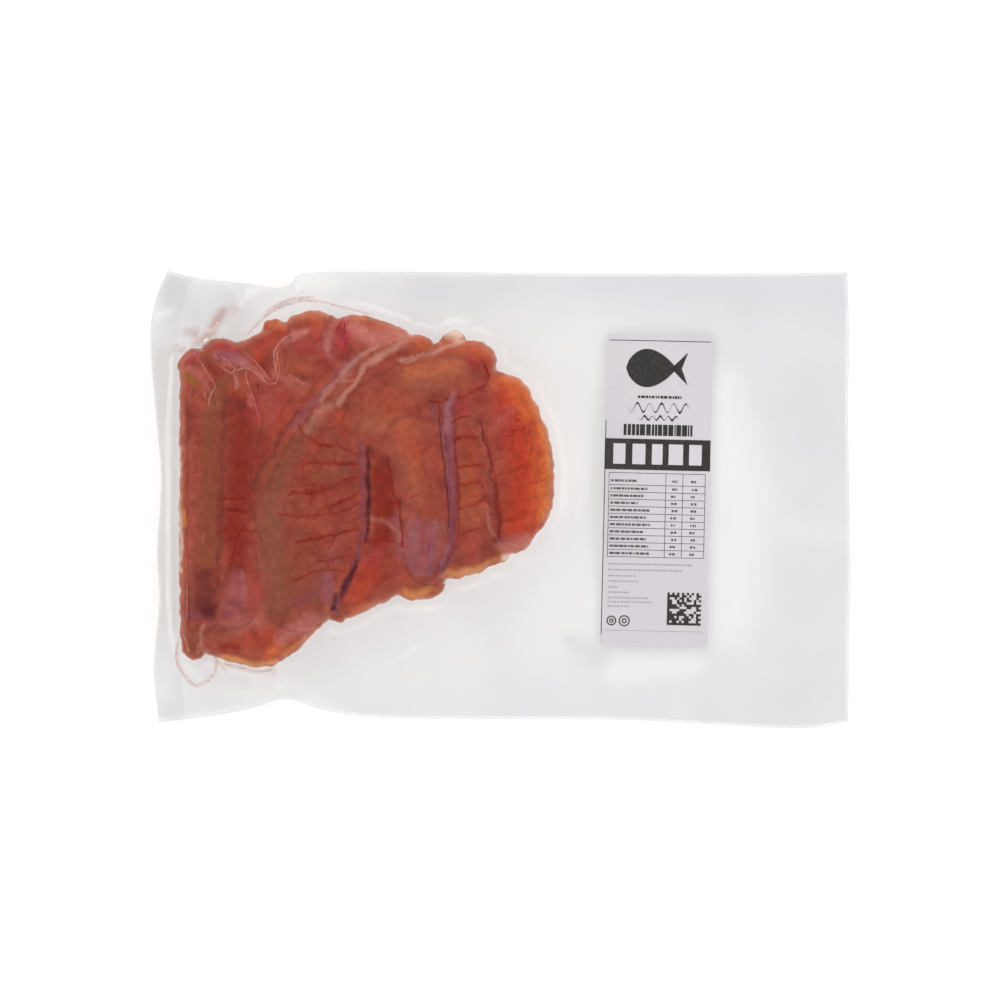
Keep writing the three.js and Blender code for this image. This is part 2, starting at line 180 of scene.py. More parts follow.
# Paint on the roe: strength, then points with half widths
PAINTS = {
    "deep": [
        (0.8, [
            (-110.5, 41, 6.5), (-111, 12.7, 7.5), (-113.6, -4, 5.6), (-113.8, -17.4, 5.6), (-113, -30, 5.2),
        ]),
        (0.3, [(-134, 20, 2.4), (-134, -14, 2.4)]),
        (0.6, [(-101.9, 25.6, 5.2), (-105.3, 8.4, 4.3), (-107.9, -8.8, 3.4)]),
        (0.5, [(-102.6, 49, 1.6), (-101.4, 45, 1.8)]),
        (0.6, [(-127, 59.8, 1.8), (-123.6, 56.2, 2.2), (-120.8, 53.4, 2)]),
        (0.5, [(-101.4, 58.6, 2.4), (-99.4, 53.6, 1.8)]),
        (1, [(-51.5, 14, 4), (-50.4, 4, 5), (-50, -6, 5.2)]),
        (0.9, [(-49.6, -14, 4.4), (-51, -18, 4.4)]),
        (0.4, [(-53, -24, 6), (-58, -34, 6)]),
        (0.35, [(-86.4, 12.7, 5.2), (-73.5, -2.4, 6.9), (-67.1, -17.4, 6)]),
        (0.4, [(-64.9, -48, 3.4), (-58, -42, 3.4)]),
        (0.25, [(-76, 57, 5), (-66, 62, 4)]),
        (0.85, [(-119, -63, 2.4), (-113, -63.8, 2.4)]),
        (0.4, [(6, -5, 6), (9, 6, 6)]),
    ],
    "maroon_and_crease_shade": [
        (0.85, [(-127, -34, 6.2), (-127, -40, 6.6), (-126.4, -45, 5.6)]),
        (0.5, [(-121, -30, 2.4), (-117, -33.4, 2.4)]),
        (0.5, [(-133.6, 38, 1.6), (-133, 31, 1.8), (-134, 24, 1.5)]),
        # Painted shade: soft dark lines along the creases between the sacs.
        (0.7, [(-118.2, 42, 1.3), (-119.3, 21.3, 1.5), (-119.9, -0.2, 1.6), (-121, -28.6, 1.5)]),
        (0.7, [(-86, 37.6, 1.1), (-90.3, 32.6, 1.3), (-96.8, 21.3, 1.4), (-106.4, 5, 1.3)]),
        (0.5, [(-107.2, -2, 1.1), (-103.6, -15, 1.1), (-101.6, -26, 1)]),
        (0.5, [(-113, -28, 2.4), (-118, -33, 2.4)]),
        (0.45, [(-52.4, 19, 2.4), (-49, 15, 2)]),
        (0.3, [(-87, -41, 3.4), (-80, -43, 4)]),
        (0.6, [(-119, 41, 1.6), (-113.6, 41, 2), (-110.4, 40.6, 1.4)]),
        (0.35, [(-13, 59, 2.4), (-12.5, 54, 2.4)]),
        (0.35, [(-14.5, 41, 3), (-17, 37, 2.4)]),
    ],
    "sand": [
        (0.45, [(-56, 36, 6), (-52, 42, 6), (-40, 46, 7)]),
        (0.8, [(-56, 32, 5), (-46, 33, 6), (-40, 30, 6)]),
        (0.7, [(-40, 52, 5), (-28, 53, 6), (-18, 56, 5)]),
        (0.5, [(-44, 24, 6), (-37, 8, 5), (-35, 0, 4)]),
        (0.6, [(-60, 60, 4), (-50, 66, 4), (-42, 70, 3)]),
        (0.4, [(-14, 30, 5), (-13, 10, 6), (-12, -10, 6)]),
    ],
    "peach": [
        (0.7, [(-79.5, 77, 3.2), (-78.5, 72, 2.6)]),
        (0.75, [(-61.5, 76, 3.6), (-57, 72, 3.2)]),
        (0.75, [(-54, 73.5, 3.4), (-42, 71, 4.4), (-32, 66.5, 3)]),
        (0.8, [(-24, 66, 3.4), (-14, 66, 4), (-6.5, 62, 3)]),
        (0.5, [(-40, 54, 4), (-22, 58, 5)]),
        (0.85, [(-2, 50, 3.4), (5, 47, 5), (11, 40, 5)]),
        (0.35, [(-38, 24, 5), (-36, 10, 5)]),
        (0.4, [(-14, 12, 4.4), (-12.6, -6, 5)]),
        (0.35, [(-110, -66, 3.4), (-98, -66, 4), (-86, -58, 4)]),
        (0.5, [(0, -21.6, 2), (7, -19.4, 2.4), (12, -15, 2)]),
        (0.5, [(-124.5, 42, 2.2), (-124, 36, 2)]),
        (0.4, [(-111, 51, 2.2), (-110.4, 45, 2)]),
    ],
    "orange": [
        (0.85, [(4.7, 46.2, 8.6), (11.6, 25.6, 11.2), (12.5, -0.2, 10.3), (8, -12, 6.9)]),
        (0.55, [(-56, -33, 7), (-62, -41, 6)]),
        (0.35, [(-46, -30, 6), (-41, -34, 4)]),
        (0.35, [(-14.2, 25.6, 5.6), (-13.3, -0.2, 6)]),
        (0.5, [(-104, 62, 4), (-99, 68.4, 4), (-93, 72.6, 3)]),
        (0.35, [(-96, 44, 4), (-100, 36, 4)]),
        (0.4, [(-119.4, -64, 2), (-113, -65.4, 2.4)]),
        (0.6, [(-79.5, 75, 3.9), (-78.7, 72, 2.6)]),
        (0.5, [(-58.5, 76.3, 3.9), (-52, 72.9, 3)]),
        (0.5, [(-34, 67.5, 3), (-13.3, 65.4, 4), (-4.7, 57, 4)]),
        (0.4, [(-68, 36, 4), (-66, 30, 5)]),
        (0.35, [(-45.6, 42.8, 8.6), (-39.1, 21.3, 7.7)]),
        (0.4, [(-107.9, -59.6, 6.9), (-92, -57, 6)]),
        (0.4, [(-95, 42.8, 6), (-94.2, 29.9, 5.2)]),
        (0.4, [(-39, 26, 2.4), (-30, 20, 2.6), (-28, 10, 2)]),
    ],
    "ember": [
        (0.75, [(2, 51, 2.6), (9, 47.5, 3), (14.6, 37, 3), (18.4, 24, 3), (18.9, 8, 2.8), (16.4, -7, 2.8)]),
        (0.6, [(7, 45, 4.4), (12, 36, 4)]),
        (0.4, [(13.4, 30, 4), (15, 8, 4), (12, -9, 3)]),
        (0.5, [(-97.5, 75.4, 2.4), (-94, 73.8, 2)]),
        (0.5, [(-101, -67, 3), (-93, -63, 3)]),
        (0.4, [(-63.5, -47.6, 2.4), (-57, -45, 2.2)]),
    ],
    "tan": [
        (0.85, [
            (-80.4, 30.5, 3), (-90.7, 17.8, 5.2), (-98.4, -0.2, 6.8), (-97.3, -19.6, 7.4),
            (-93, -34.6, 8.6), (-94.5, -46, 7),
        ]),
        (0.5, [(-87, 4, 8), (-87, -22, 9)]),
        (0.85, [(-118, 51, 3.4), (-122, 42, 3.6), (-124.4, 29.9, 4.4), (-125, -0.2, 4.8), (-126, -26, 4.4)]),
        (0.5, [(-66, 42, 3.4), (-62.5, 36, 4), (-64, 30, 4)]),
        (0.4, [(-55, 50, 5), (-44, 50, 5), (-34, 45, 5)]),
        (0.3, [(-45.6, 20, 5), (-36.7, 4.1, 6), (-35, -2.4, 5)]),
        (0.5, [(-86.4, -8.8, 4.3), (-80, -26, 6.9), (-82.1, -47.5, 6.9)]),
        (0.4, [(-16.8, 21.3, 4.3), (-13.3, -8.8, 4.3)]),
        (0.4, [(-73.5, 23.9, 5.2), (-77.8, 5.8, 5.2)]),
        (0.8, [(-80, 10.6, 2.4), (-74, 10.4, 2.8), (-67, 11.4, 2)]),
        (0.7, [(-131.4, -58, 4), (-131, -64, 3.6)]),
        (0.5, [(-122.5, -58, 4.3), (-108, -54, 4.4)]),
        (0.35, [(-86, 62, 6), (-88, 56, 6)]),
    ],
    "lilac": [
        (0.62, [(-36.4, -11, 4.6), (-37.6, -21, 5), (-36, -30, 4)]),
        (0.66, [(-29.4, -12, 4), (-30, -22, 4.6), (-31, -30, 3.4)]),
        (0.5, [(-112.6, -33, 3.4), (-113.4, -42, 6.4), (-116, -49, 5.4)]),
        (0.4, [(-124, -53, 2.4), (-116, -51, 3), (-110, -49, 2.4)]),
        (0.65, [(-74, -34, 3), (-73, -42, 3.4), (-71.5, -46.6, 2.6)]),
        (0.3, [(-69.2, -17.4, 5), (-77, -34.6, 6), (-86.4, -43.2, 6)]),
        (0.65, [(-121.6, 62, 2.4), (-116, 61.4, 3), (-110.6, 58.6, 3)]),
        (0.55, [(-88.5, 31, 1.6), (-82, 39.4, 2.2), (-76, 45.6, 2.6), (-68.5, 53.4, 2.8), (-61, 60.6, 2.2)]),
        (0.5, [(-45, -8, 3), (-43.6, -16, 3.4), (-43, -24, 2.6)]),
        (0.35, [(6, -19, 5), (-0.4, -19, 3)]),
        (0.35, [(-84.3, -58.4, 5), (-93, -56, 4)]),
        (0.4, [(-75, 66, 3), (-72, 60, 3)]),
    ],
    "rose": [
        (0.95, [(-69.2, 76.3, 3), (-66.5, 72, 4.2), (-67.9, 66.7, 3.4)]),
        (0.6, [(-122, 66, 1.8), (-116, 65.4, 2.2), (-111.6, 63.8, 1.6)]),
        (0.4, [(-7.6, 56, 2.4), (-6, 50.6, 2.6), (-12, 46, 3)]),
        (0.4, [(-108, 37, 3), (-104, 44, 3)]),
        (0.5, [(-135.4, 61.4, 3.4), (-130.3, 63.3, 2.6)]),
        (0.5, [(-106.2, 41.1, 3.4), (-102.8, 34.2, 2.6)]),
        (0.5, [(-13.2, 60.1, 3), (-11.5, 54.8, 2.2)]),
        (0.5, [(-16.8, 41, 3.4), (-15.3, 36.6, 2.6)]),
        (0.4, [(-50, -20, 3.4), (-56, -28, 4)]),
        (0.4, [(-86.4, 66.4, 4.3), (-73.5, 62.1, 5.2)]),
        (0.45, [(-104.2, -34, 2.6), (-102.8, -42, 3)]),
        (0.5, [(-78, 70.5, 2.4), (-74, 68, 2.4)]),
        (0.35, [(-1, 40, 4), (4, 30, 5)]),
        (0.3, [(-13, -18, 5), (-12, -24, 4)]),
        (0.35, [(-100, 50, 4), (-96, 36, 4)]),
    ],
    "pink": [
        (0.7, [(-92, 67.5, 2), (-88.4, 70.6, 3), (-84, 72, 2)]),
        (0.75, [(-64, 75, 3), (-59.6, 72, 4.4), (-55, 69.6, 4.4)]),
        (0.65, [(-52, 71, 4), (-43, 69.4, 4)]),
        (0.5, [(-72, 74, 2), (-74, 66, 2)]),
        (0.55, [(-94, -60, 3.4), (-86, -55, 4), (-80, -50, 3)]),
        (0.6, [(0, -20.5, 3), (6, -19.4, 3), (11, -15.5, 3)]),
        (0.4, [(-133.6, 57, 2), (-128.4, 53.6, 3), (-126, 47, 2.6)]),
        # Painted glare: lighter pink along the film's pleats over the upper left sacs.
        (0.5, [(-118.6, 58.6, 1.6), (-112.4, 58.4, 2.4), (-106.6, 57.2, 2.4), (-101.6, 52.6, 1.8)]),
        (0.5, [(-113.6, 53.4, 1), (-112.9, 47.4, 1.2)]),
        (0.5, [(-108.8, 43.6, 1.4), (-106.4, 40.4, 1.2)]),
        (0.4, [(-96.4, 52, 1), (-96, 58, 1.2), (-96, 63, 1.2), (-92.6, 68.4, 1)]),
        (0.35, [(-93.6, 52, 2), (-86, 49, 3), (-82, 50, 2)]),
        (0.25, [(-136.6, 40, 1), (-136.6, 22, 1)]),
        (0.4, [(-113, -54, 5), (-104, -52, 5)]),
        (0.35, [(4, 38, 4), (-2, 32, 3)]),
    ],
    "violet": [
        (0.7, [
            (-60, 24, 1.4), (-59.2, 12, 1.6), (-58.8, 0, 1.6), (-59, -12, 1.5),
            (-61, -22, 1.6), (-64, -31, 1.4), (-68.4, -39.8, 1.8), (-72, -45.8, 2),
        ]),
        (0.9, [
            (-21, 45, 1.4), (-22.6, 37, 2.6), (-22.8, 28, 2.8), (-22, 18, 2.5), (-21, 6, 2.3),
            (-20.4, -6, 2.1), (-20.8, -17.6, 1.9), (-25.2, -30, 1.7),
        ]),
        (0.4, [(-8.6, 34.2, 1), (-5.2, 17, 1.2), (-1, -6.7, 1.2)]),
        (0.6, [(-29.8, -20.1, 1.7), (-29.4, -27.3, 2.2)]),
        (0.35, [(-89.4, -43.6, 2.6), (-84.7, -43.2, 3), (-77.8, -40.6, 2.6)]),
        (0.5, [(-29.6, 40.4, 1.8), (-28.6, 34.2, 1.8)]),
        (0.35, [(-79.4, 43, 1), (-74, 49.8, 1.2), (-69.6, 54.2, 1.2), (-64.6, 57.8, 1)]),
        (0.4, [(-92, 28, 1), (-88, 35, 1.2)]),
        (0.35, [(-104.5, -45.4, 1.7), (-107.9, -51.8, 2.2)]),
        (0.55, [(-137, -49, 2.2), (-131, -49.6, 2), (-124, -50, 1.8)]),
        (0.35, [(-119, 60, 2), (-114, 58, 2)]),
    ],
    "mauve": [
        (0.63, [(-20.7, 46, 1.2), (-21, 42.6, 1.7), (-22.8, 37, 2), (-23.4, 30.6, 2.4)]),
        (0.42, [(-24.4, 29, 1), (-24, 20, 0.9), (-23, 11, 0.8)]),
        (0.32, [(-21.7, 30, 1.2), (-21.4, 20, 1.1), (-20.7, 8, 1), (-20.3, -2, 0.9)]),
        (0.49, [(-22.4, -20, 0.9), (-24.8, -27, 1.1)]),
        (0.21, [(-59.4, 16, 0.8), (-59, 4, 0.8)]),
        (0.35, [(-63, -27, 0.6), (-64.4, -31, 0.6)]),
        (0.42, [(-29.4, -26, 0.9), (-29.2, -19, 0.8)]),
        (0.28, [(-28.8, 40, 1), (-28.6, 35, 1)]),
        (0.21, [(-75.4, -36, 1.4), (-74.4, -41, 1.4)]),
        (0.42, [(-110.2, -32, 1.2), (-110.4, -42, 1.4)]),
        (0.35, [(-66.6, 56, 1.6), (-63, 58.6, 1.6), (-59.6, 61.4, 1.4)]),
    ],
    "pale": [
        (0.48, [(-83, 28.6, 2), (-79, 33.8, 3.2), (-74.6, 39.2, 2.8), (-72, 41.4, 1.8)]),
        (0.51, [(-77.4, 42.6, 1.3), (-75, 45, 1.5), (-72, 47.6, 1.5)]),
        (0.48, [(-68, 53.4, 1.4), (-62, 58.4, 1.5), (-56.6, 62.2, 1.4)]),
        (0.51, [(-75.6, 45.4, 1.5), (-70.5, 50.4, 1.6), (-66, 54.6, 1.4)]),
        (0.58, [(-65, 56.6, 0.9), (-59, 61.4, 1), (-52, 66, 1)]),
        (0.65, [(-69.4, 41.4, 1.6), (-66, 45.4, 1.3), (-62, 50.6, 1.2), (-58.4, 55, 1.5)]),
        (0.65, [(-58.4, 55, 1.5), (-52.6, 60, 1.7), (-47, 65, 1.5), (-41.6, 69, 1.1)]),
        (0.41, [(-70.6, 50.4, 0.8), (-64, 51.2, 0.9)]),
        (0.34, [(-11.8, 35.2, 0.9), (-10.6, 35, 0.9)]),
        (0.34, [(-9.6, 30.4, 0.7), (-8.4, 26, 0.7), (-6.8, 21, 0.7)]),
        (0.41, [(-75, 69.6, 1), (-74, 65, 1.2), (-73.4, 60.6, 0.9)]),
        (0.48, [(-127.4, -54, 1.2), (-128.6, -60, 1.5), (-129.4, -65, 1.2)]),
        (0.27, [(-127.2, -13, 0.9), (-127.4, -17.6, 0.8)]),
        (0.34, [(-62.6, 50.6, 0.9), (-60.4, 50.9, 0.9)]),
        (0.27, [(-70.6, 43.6, 1), (-66.4, 50.6, 0.9)]),
        # Painted highlight: the whitish glint of a film fold along the shoulder's top.
        (0.65, [(-42.8, 59.4, 1.8), (-38.6, 60.4, 1.5), (-30.1, 63, 1.2), (-19.4, 65.6, 0.9)]),
        (0.2, [(-37, 49, 2.4), (-30, 47.6, 3)]),
        (0.24, [(-123.4, 47.2, 2.2), (-122.6, 40.5, 2.6)]),
        (0.27, [(-29.2, -8.5, 2.2), (-25.4, -11, 2.6), (-23.4, -14.7, 2.2)]),
        (0.41, [(-55.9, -9.2, 1), (-49.4, -9.2, 1.2), (-44.7, -12.7, 1.4), (-42.6, -17.6, 1.2)]),
        (0.24, [(-40, -12, 2.4), (-36.5, -15, 2.4)]),
        (0.41, [(-5.8, -2, 0.9), (-4.8, -9, 1.1), (-3.6, -15, 1.1)]),
        (0.24, [(-99, -44.5, 2.2), (-96.8, -47.5, 1.7)]),
        (0.27, [(-127, -55.7, 2), (-128.6, -62.7, 2)]),
        (0.24, [(-106, 58, 2), (-99, 51.4, 1.4)]),
        (0.17, [(-39.1, 41.9, 3), (-31.4, 46.2, 2.6)]),
        (0.2, [(-43.4, -26, 1.4), (-43.6, -31, 1.4)]),
    ],
    "olive": [
        (0.6, [(-135.4, 54.6, 1.4), (-132.6, 52.4, 2), (-130, 48.6, 1.4)]),
        (0.35, [(-136.2, -2, 0.8), (-136, -16, 0.8)]),
        (0.3, [(-98, -5, 2.4), (-98.6, -14, 2)]),
    ],
    "amber": [
        (0.47, [(9, 50, 2), (15.9, 39.8, 2.6), (20, 25.6, 2.8), (20.8, 8.4, 2.8), (18.6, -6.7, 2.6)]),
        (0.72, [(-39.4, -39.6, 2.8), (-35, -39.6, 3.4), (-31.2, -38.6, 2.6)]),
        (0.68, [(-21.4, -31, 2.4), (-15.5, -30.8, 3.2), (-8.6, -28, 2.8)]),
        (0.47, [(-5.4, -26.6, 2.2), (-1.6, -25, 2)]),
        (0.68, [(-119.4, -67.6, 1.3), (-108, -69.6, 1.7), (-97.6, -70, 1.8)]),
        (0.42, [(-93, -66.4, 1.8), (-84, -59.8, 1.6)]),
        (0.51, [(-135.4, -5.4, 1.3), (-135.2, -11.6, 1.4)]),
        (0.42, [(-79.8, 75, 3), (-80.4, 72.4, 2.6)]),
        (0.34, [(-99.3, 77.3, 2.2), (-79.8, 79.8, 1.8), (-58.3, 78.2, 1.8)]),
        (0.26, [(-64, -50.4, 2), (-52, -44.2, 2)]),
    ],
    "cream_and_highlight": [
        (0.95, [(-22.4, 71.6, 2.4), (-20, 71.2, 2.8), (-17.4, 71.2, 2)]),
        (0.5, [(-19.6, 67.6, 1.4), (-17.4, 67.6, 1.4)]),
        (0.8, [(0.6, -24.6, 1.2), (3, -23.8, 1)]),
        # Thin pale lines along the outline: painted highlight.
        (0.5, [(-137.6, 24, 0.9), (-137.8, 0, 0.9), (-137.4, -30, 0.8)]),
        (0.4, [(12.4, 47.4, 0.8), (16.4, 41, 0.8)]),
    ],
    "shadow": [
        (0.6, [(-57, 21, 1.3), (-56.6, 9.2, 1.6), (-56.3, -5.4, 1.4), (-57.4, -17.4, 1.1)]),
        (0.6, [(-61.6, -27, 1.3), (-65, -33.2, 1.8), (-68.6, -41, 1.4)]),
        (0.5, [(-56.9, 20.4, 1.4), (-54.6, 19.5, 1.6)]),
        (0.5, [(-3.2, 8, 0.9), (-1, -2, 1.2), (-0.6, -9, 1.6), (-1, -16.1, 1.2)]),
        (0.6, [(-127.6, -48.4, 1.8), (-124.6, -48, 2.6), (-122, -46.6, 1.8)]),
        (0.5, [(-31.4, 41.9, 0.7), (-24.9, 41.9, 0.7)]),
        (0.45, [(-9.4, 33.4, 0.8), (-6, 22.4, 0.9), (-3.2, 8, 0.9)]),
        (0.45, [(-49, 16.4, 0.8), (-45.6, 4.1, 0.9), (-42.6, -7.8, 0.9), (-41.8, -20.6, 0.7)]),
        (0.4, [(-25.6, 38.2, 0.8), (-25.2, 22.7, 0.8), (-23.2, 6, 0.8), (-21.8, -12.1, 0.7)]),
        (0.45, [(-19.6, 36, 0.6), (-19.2, 20, 0.7), (-18.2, 2, 0.7), (-18.6, -14, 0.7)]),
    ],
}

# Where the roe's netting of fine vessels shows most
NETTING = [
    (1.0, [(-86.4, 12.7, 11.18), (-77.8, -4.5, 14.62), (-73.5, -26, 12.04)]),
    (0.8, [(7.3, 34.2, 11.18), (10.8, 8.4, 12.04), (6, -11, 7.74)]),
    (0.7, [(-14.2, 25.6, 6.88), (-13.3, -8.8, 6.88)]),
    (0.8, [(-112.2, 25.6, 7.74), (-112.2, -17.4, 7.74)]),
    (0.6, [(-69.2, 72.9, 10.32), (-56.3, 68.6, 8.6)]),
    (0.5, [(-52, -26, 10.32), (-45.6, 4.1, 6.02)]),
    (0.5, [(-133.7, 34.2, 3.87), (-133.7, -0.2, 3.87)]),
    (0.3, [(-43.4, 42.8, 12.9), (-34.8, 8.4, 9.46)]),
]

# Blood vessels: points with half widths
# Dark lines: dark vessels, and painted shade along the lower side of the main vessels
DARK_LINES = [
    [
        (-57, 20.5, 0.6), (-56.8, 12, 1.2), (-56.6, 4, 1.3), (-56.4, -4, 1.1), (-57, -12, 0.8),
        (-58.2, -19, 0.5),
    ],
    [(-61.6, -27.6, 0.8), (-63.8, -31.4, 1.4), (-66, -35.2, 1.6), (-68.2, -39.4, 1.2)],
    [
        (-26.4, 40.5, 0.4), (-26.2, 33, 0.45), (-25.9, 27, 0.45), (-25.2, 20, 0.45), (-24.2, 14, 0.4),
        (-23.2, 4, 0.4), (-22.4, -6, 0.4), (-22.6, -14, 0.3),
    ],
    [(-23.8, 28.4, 0.4), (-23.7, 24, 0.5), (-23.3, 20, 0.4)],
]
RED_LINES = [
    [
        (-19.8, 30, 0.4), (-19.5, 20, 0.6), (-18.5, 10, 0.7), (-18, 0, 0.8), (-17.8, -10, 0.7),
        (-19.2, -18, 0.7), (-22.2, -25.6, 0.5),
    ],
    [
        (-9.8, 34.6, 0.7), (-7.9, 28.9, 0.9), (-6.2, 23.9, 0.9), (-4.9, 18.3, 0.9), (-3.6, 13.3, 1),
        (-2.2, 9, 1), (-1.6, 2, 1), (-1, -6, 1), (-0.8, -15.1, 0.8),
    ],
    [(-49, 16.4, 0.6), (-46, 4.1, 0.9), (-43, -6.1, 0.9), (-42, -13.3, 0.8), (-42, -21, 0.6)],
    [(-31.4, 42.1, 0.5), (-28, 41.9, 0.7), (-24.7, 41.8, 0.9), (-22.6, 43.4, 0.6)],
]
BRANCHES = [
    [(-61.1, 18.7, 0.39), (-69.2, 22.6, 0.39), (-77.8, 23.4, 0.43), (-80.8, 25.6, 0.26)],
    [(-61.1, 15.3, 0.39), (-73.5, 15.7, 0.39), (-84.3, 15.7, 0.3)],
    [(-84.7, 15.7, 0.26), (-85.1, 10.5, 0.17)],
    [(-60.6, 9.7, 0.43), (-68.8, 6.7, 0.39), (-76.5, 3.7, 0.39), (-83.8, 3.2, 0.3), (-91.2, 1.9, 0.21)],
    [(-81.3, 2.8, 0.3), (-80.8, -2.4, 0.17)],
    [(-61.1, 2.4, 0.43), (-71, -2.4, 0.43), (-76.5, -3.7, 0.21)],
    [
        (-60.2, -1.1, 0.26), (-65.8, -4.1, 0.3), (-73.5, -6.2, 0.26), (-82.1, -7.1, 0.3),
        (-88.6, -7.1, 0.26), (-95.9, -5.8, 0.17),
    ],
    [
        (-60.2, -12.3, 0.39), (-65.4, -13.5, 0.43), (-74, -15.7, 0.39), (-80.4, -17, 0.43),
        (-87.3, -18.3, 0.26),
    ],
    [(-71, -15.7, 0.21), (-73.5, -20.9, 0.17)],
    [(-65.4, -23.9, 0.26), (-72.2, -25.6, 0.3), (-79.1, -26.9, 0.21)],
    [(-66.7, -30.7, 0.21), (-74.8, -29.9, 0.3), (-82.6, -32, 0.3), (-89.9, -35.5, 0.21)],
    [(-120, -4.1, 0.43), (-114, -4.9, 0.47), (-108.4, -4.9, 0.34)],
    [(-120, 0.2, 0.26), (-114, 0.6, 0.34), (-109.2, 0.2, 0.26)],
    [(-120.4, -13.5, 0.3), (-112.2, -13.1, 0.3), (-104.1, -14, 0.21)],
    [(-109.6, -11.8, 0.3), (-112.7, -15.7, 0.34), (-114.8, -24.3, 0.34), (-116.1, -28.6, 0.21)],
    [(-56.8, -0.2, 0.39), (-50.3, -0.6, 0.43), (-43.9, -1.1, 0.39)],
    [(-57.2, -17.8, 0.39), (-50.3, -17.4, 0.47), (-45.1, -17.8, 0.3)],
    [(-53.8, 9.2, 0.21), (-48.6, 8.4, 0.21)],
    [(-20.1, 25.6, 0.5), (-15.5, 27.1, 0.6), (-9.9, 26.1, 0.3)],
    [(-19.4, 13.7, 0.34), (-14.2, 14.3, 0.45), (-7.9, 15, 0.4), (-7.2, 13.6, 0.2)],
    [(-18.1, 6.2, 0.4), (-11.5, 7.1, 0.4), (-8.6, 7, 0.2)],
    [(-18.1, -4.1, 0.3), (-13.3, -2.4, 0.34), (-9.5, -1.1, 0.39), (-6, 1.1, 0.21)],
    [(-16.8, -15.3, 0.26), (-13.3, -13.5, 0.3), (-9, -12.3, 0.26)],
    [(-9.5, 8.4, 0.21), (-7.7, 4.9, 0.26)],
    [
        (-8.2, 59.6, 0.3), (-6.4, 56.5, 0.4), (-5.6, 53.1, 0.5), (-6, 50.4, 0.5),
        (-7.4, 48.2, 0.5), (-10.4, 46.8, 0.5), (-13.8, 45, 0.3), (-18.6, 42.6, 0.2),
    ],
    [(-86.4, 32.5, 0.21), (-85.1, 29, 0.34), (-81.3, 26.4, 0.26), (-77, 23.9, 0.21)],
    [(-81.3, 20.4, 0.17), (-84.7, 16.1, 0.21)],
    [(-39.1, 0.6, 0.13), (-34.8, 2.4, 0.13)],
]

# Faint vessels of the end sac and of others
FAINT_BRANCHES = [
    [(-107.9, 37.6, 0.3), (-104.5, 42.8, 0.34), (-102.8, 48.8, 0.21)],
    [(-116.5, 41.9, 0.26), (-113.1, 43.6, 0.43), (-107.9, 42.8, 0.34), (-104.5, 40.2, 0.21)],
    [
        (-93.3, 46.2, 0.21), (-91.2, 43.2, 0.39), (-93.3, 38.5, 0.47), (-95, 34.2, 0.34),
        (-99.3, 28.2, 0.26),
    ],
    [(-102.8, 20.4, 0.3), (-98.5, 23, 0.39), (-95, 27.3, 0.26)],
    [(-92.5, 53.1, 0.17), (-90.7, 49.7, 0.21), (-86.4, 47.9, 0.17)],
    [(-3, 45.4, 0.3), (-0.4, 41.9, 0.5), (0, 37.6, 0.3)],
    [(3.9, 40, 0.3), (4.5, 32, 0.4), (4.7, 24.4, 0.5), (1.6, 22.3, 0.4), (-2.9, 20.6, 0.4)],
    [
        (11.6, 33, 0.3), (12.6, 28.2, 0.5), (13.6, 24.9, 0.7), (13, 21.6, 0.6),
        (12, 16.7, 0.5), (9.7, 14.3, 0.6), (6.4, 12.4, 0.7), (2.1, 11.4, 0.7), (-1.9, 10.4, 0.7),
    ],
    [(4.7, 25.6, 0.4), (5.6, 19.1, 0.3), (7.7, 15.3, 0.3)],
    [(1.7, -1.9, 0.4), (7.3, -0.6, 0.5), (12.9, 0.2, 0.4)],
    [(2, 5, 0.3), (7, 5.6, 0.4), (11, 7, 0.3)],
    [(-0.6, 29, 0.3), (6, 29.4, 0.4), (11, 31, 0.3)],
    [(-18, 30.6, 0.3), (-14, 30.2, 0.4), (-10, 30.4, 0.3)],
    [(-18.6, 20.4, 0.3), (-13, 20, 0.4), (-8, 19.6, 0.3)],
    [(-18, 1, 0.3), (-12, 1.4, 0.5), (-6, 2, 0.3)],
    [(-17.6, -9, 0.3), (-12, -7.6, 0.4), (-6, -7, 0.3)],
]

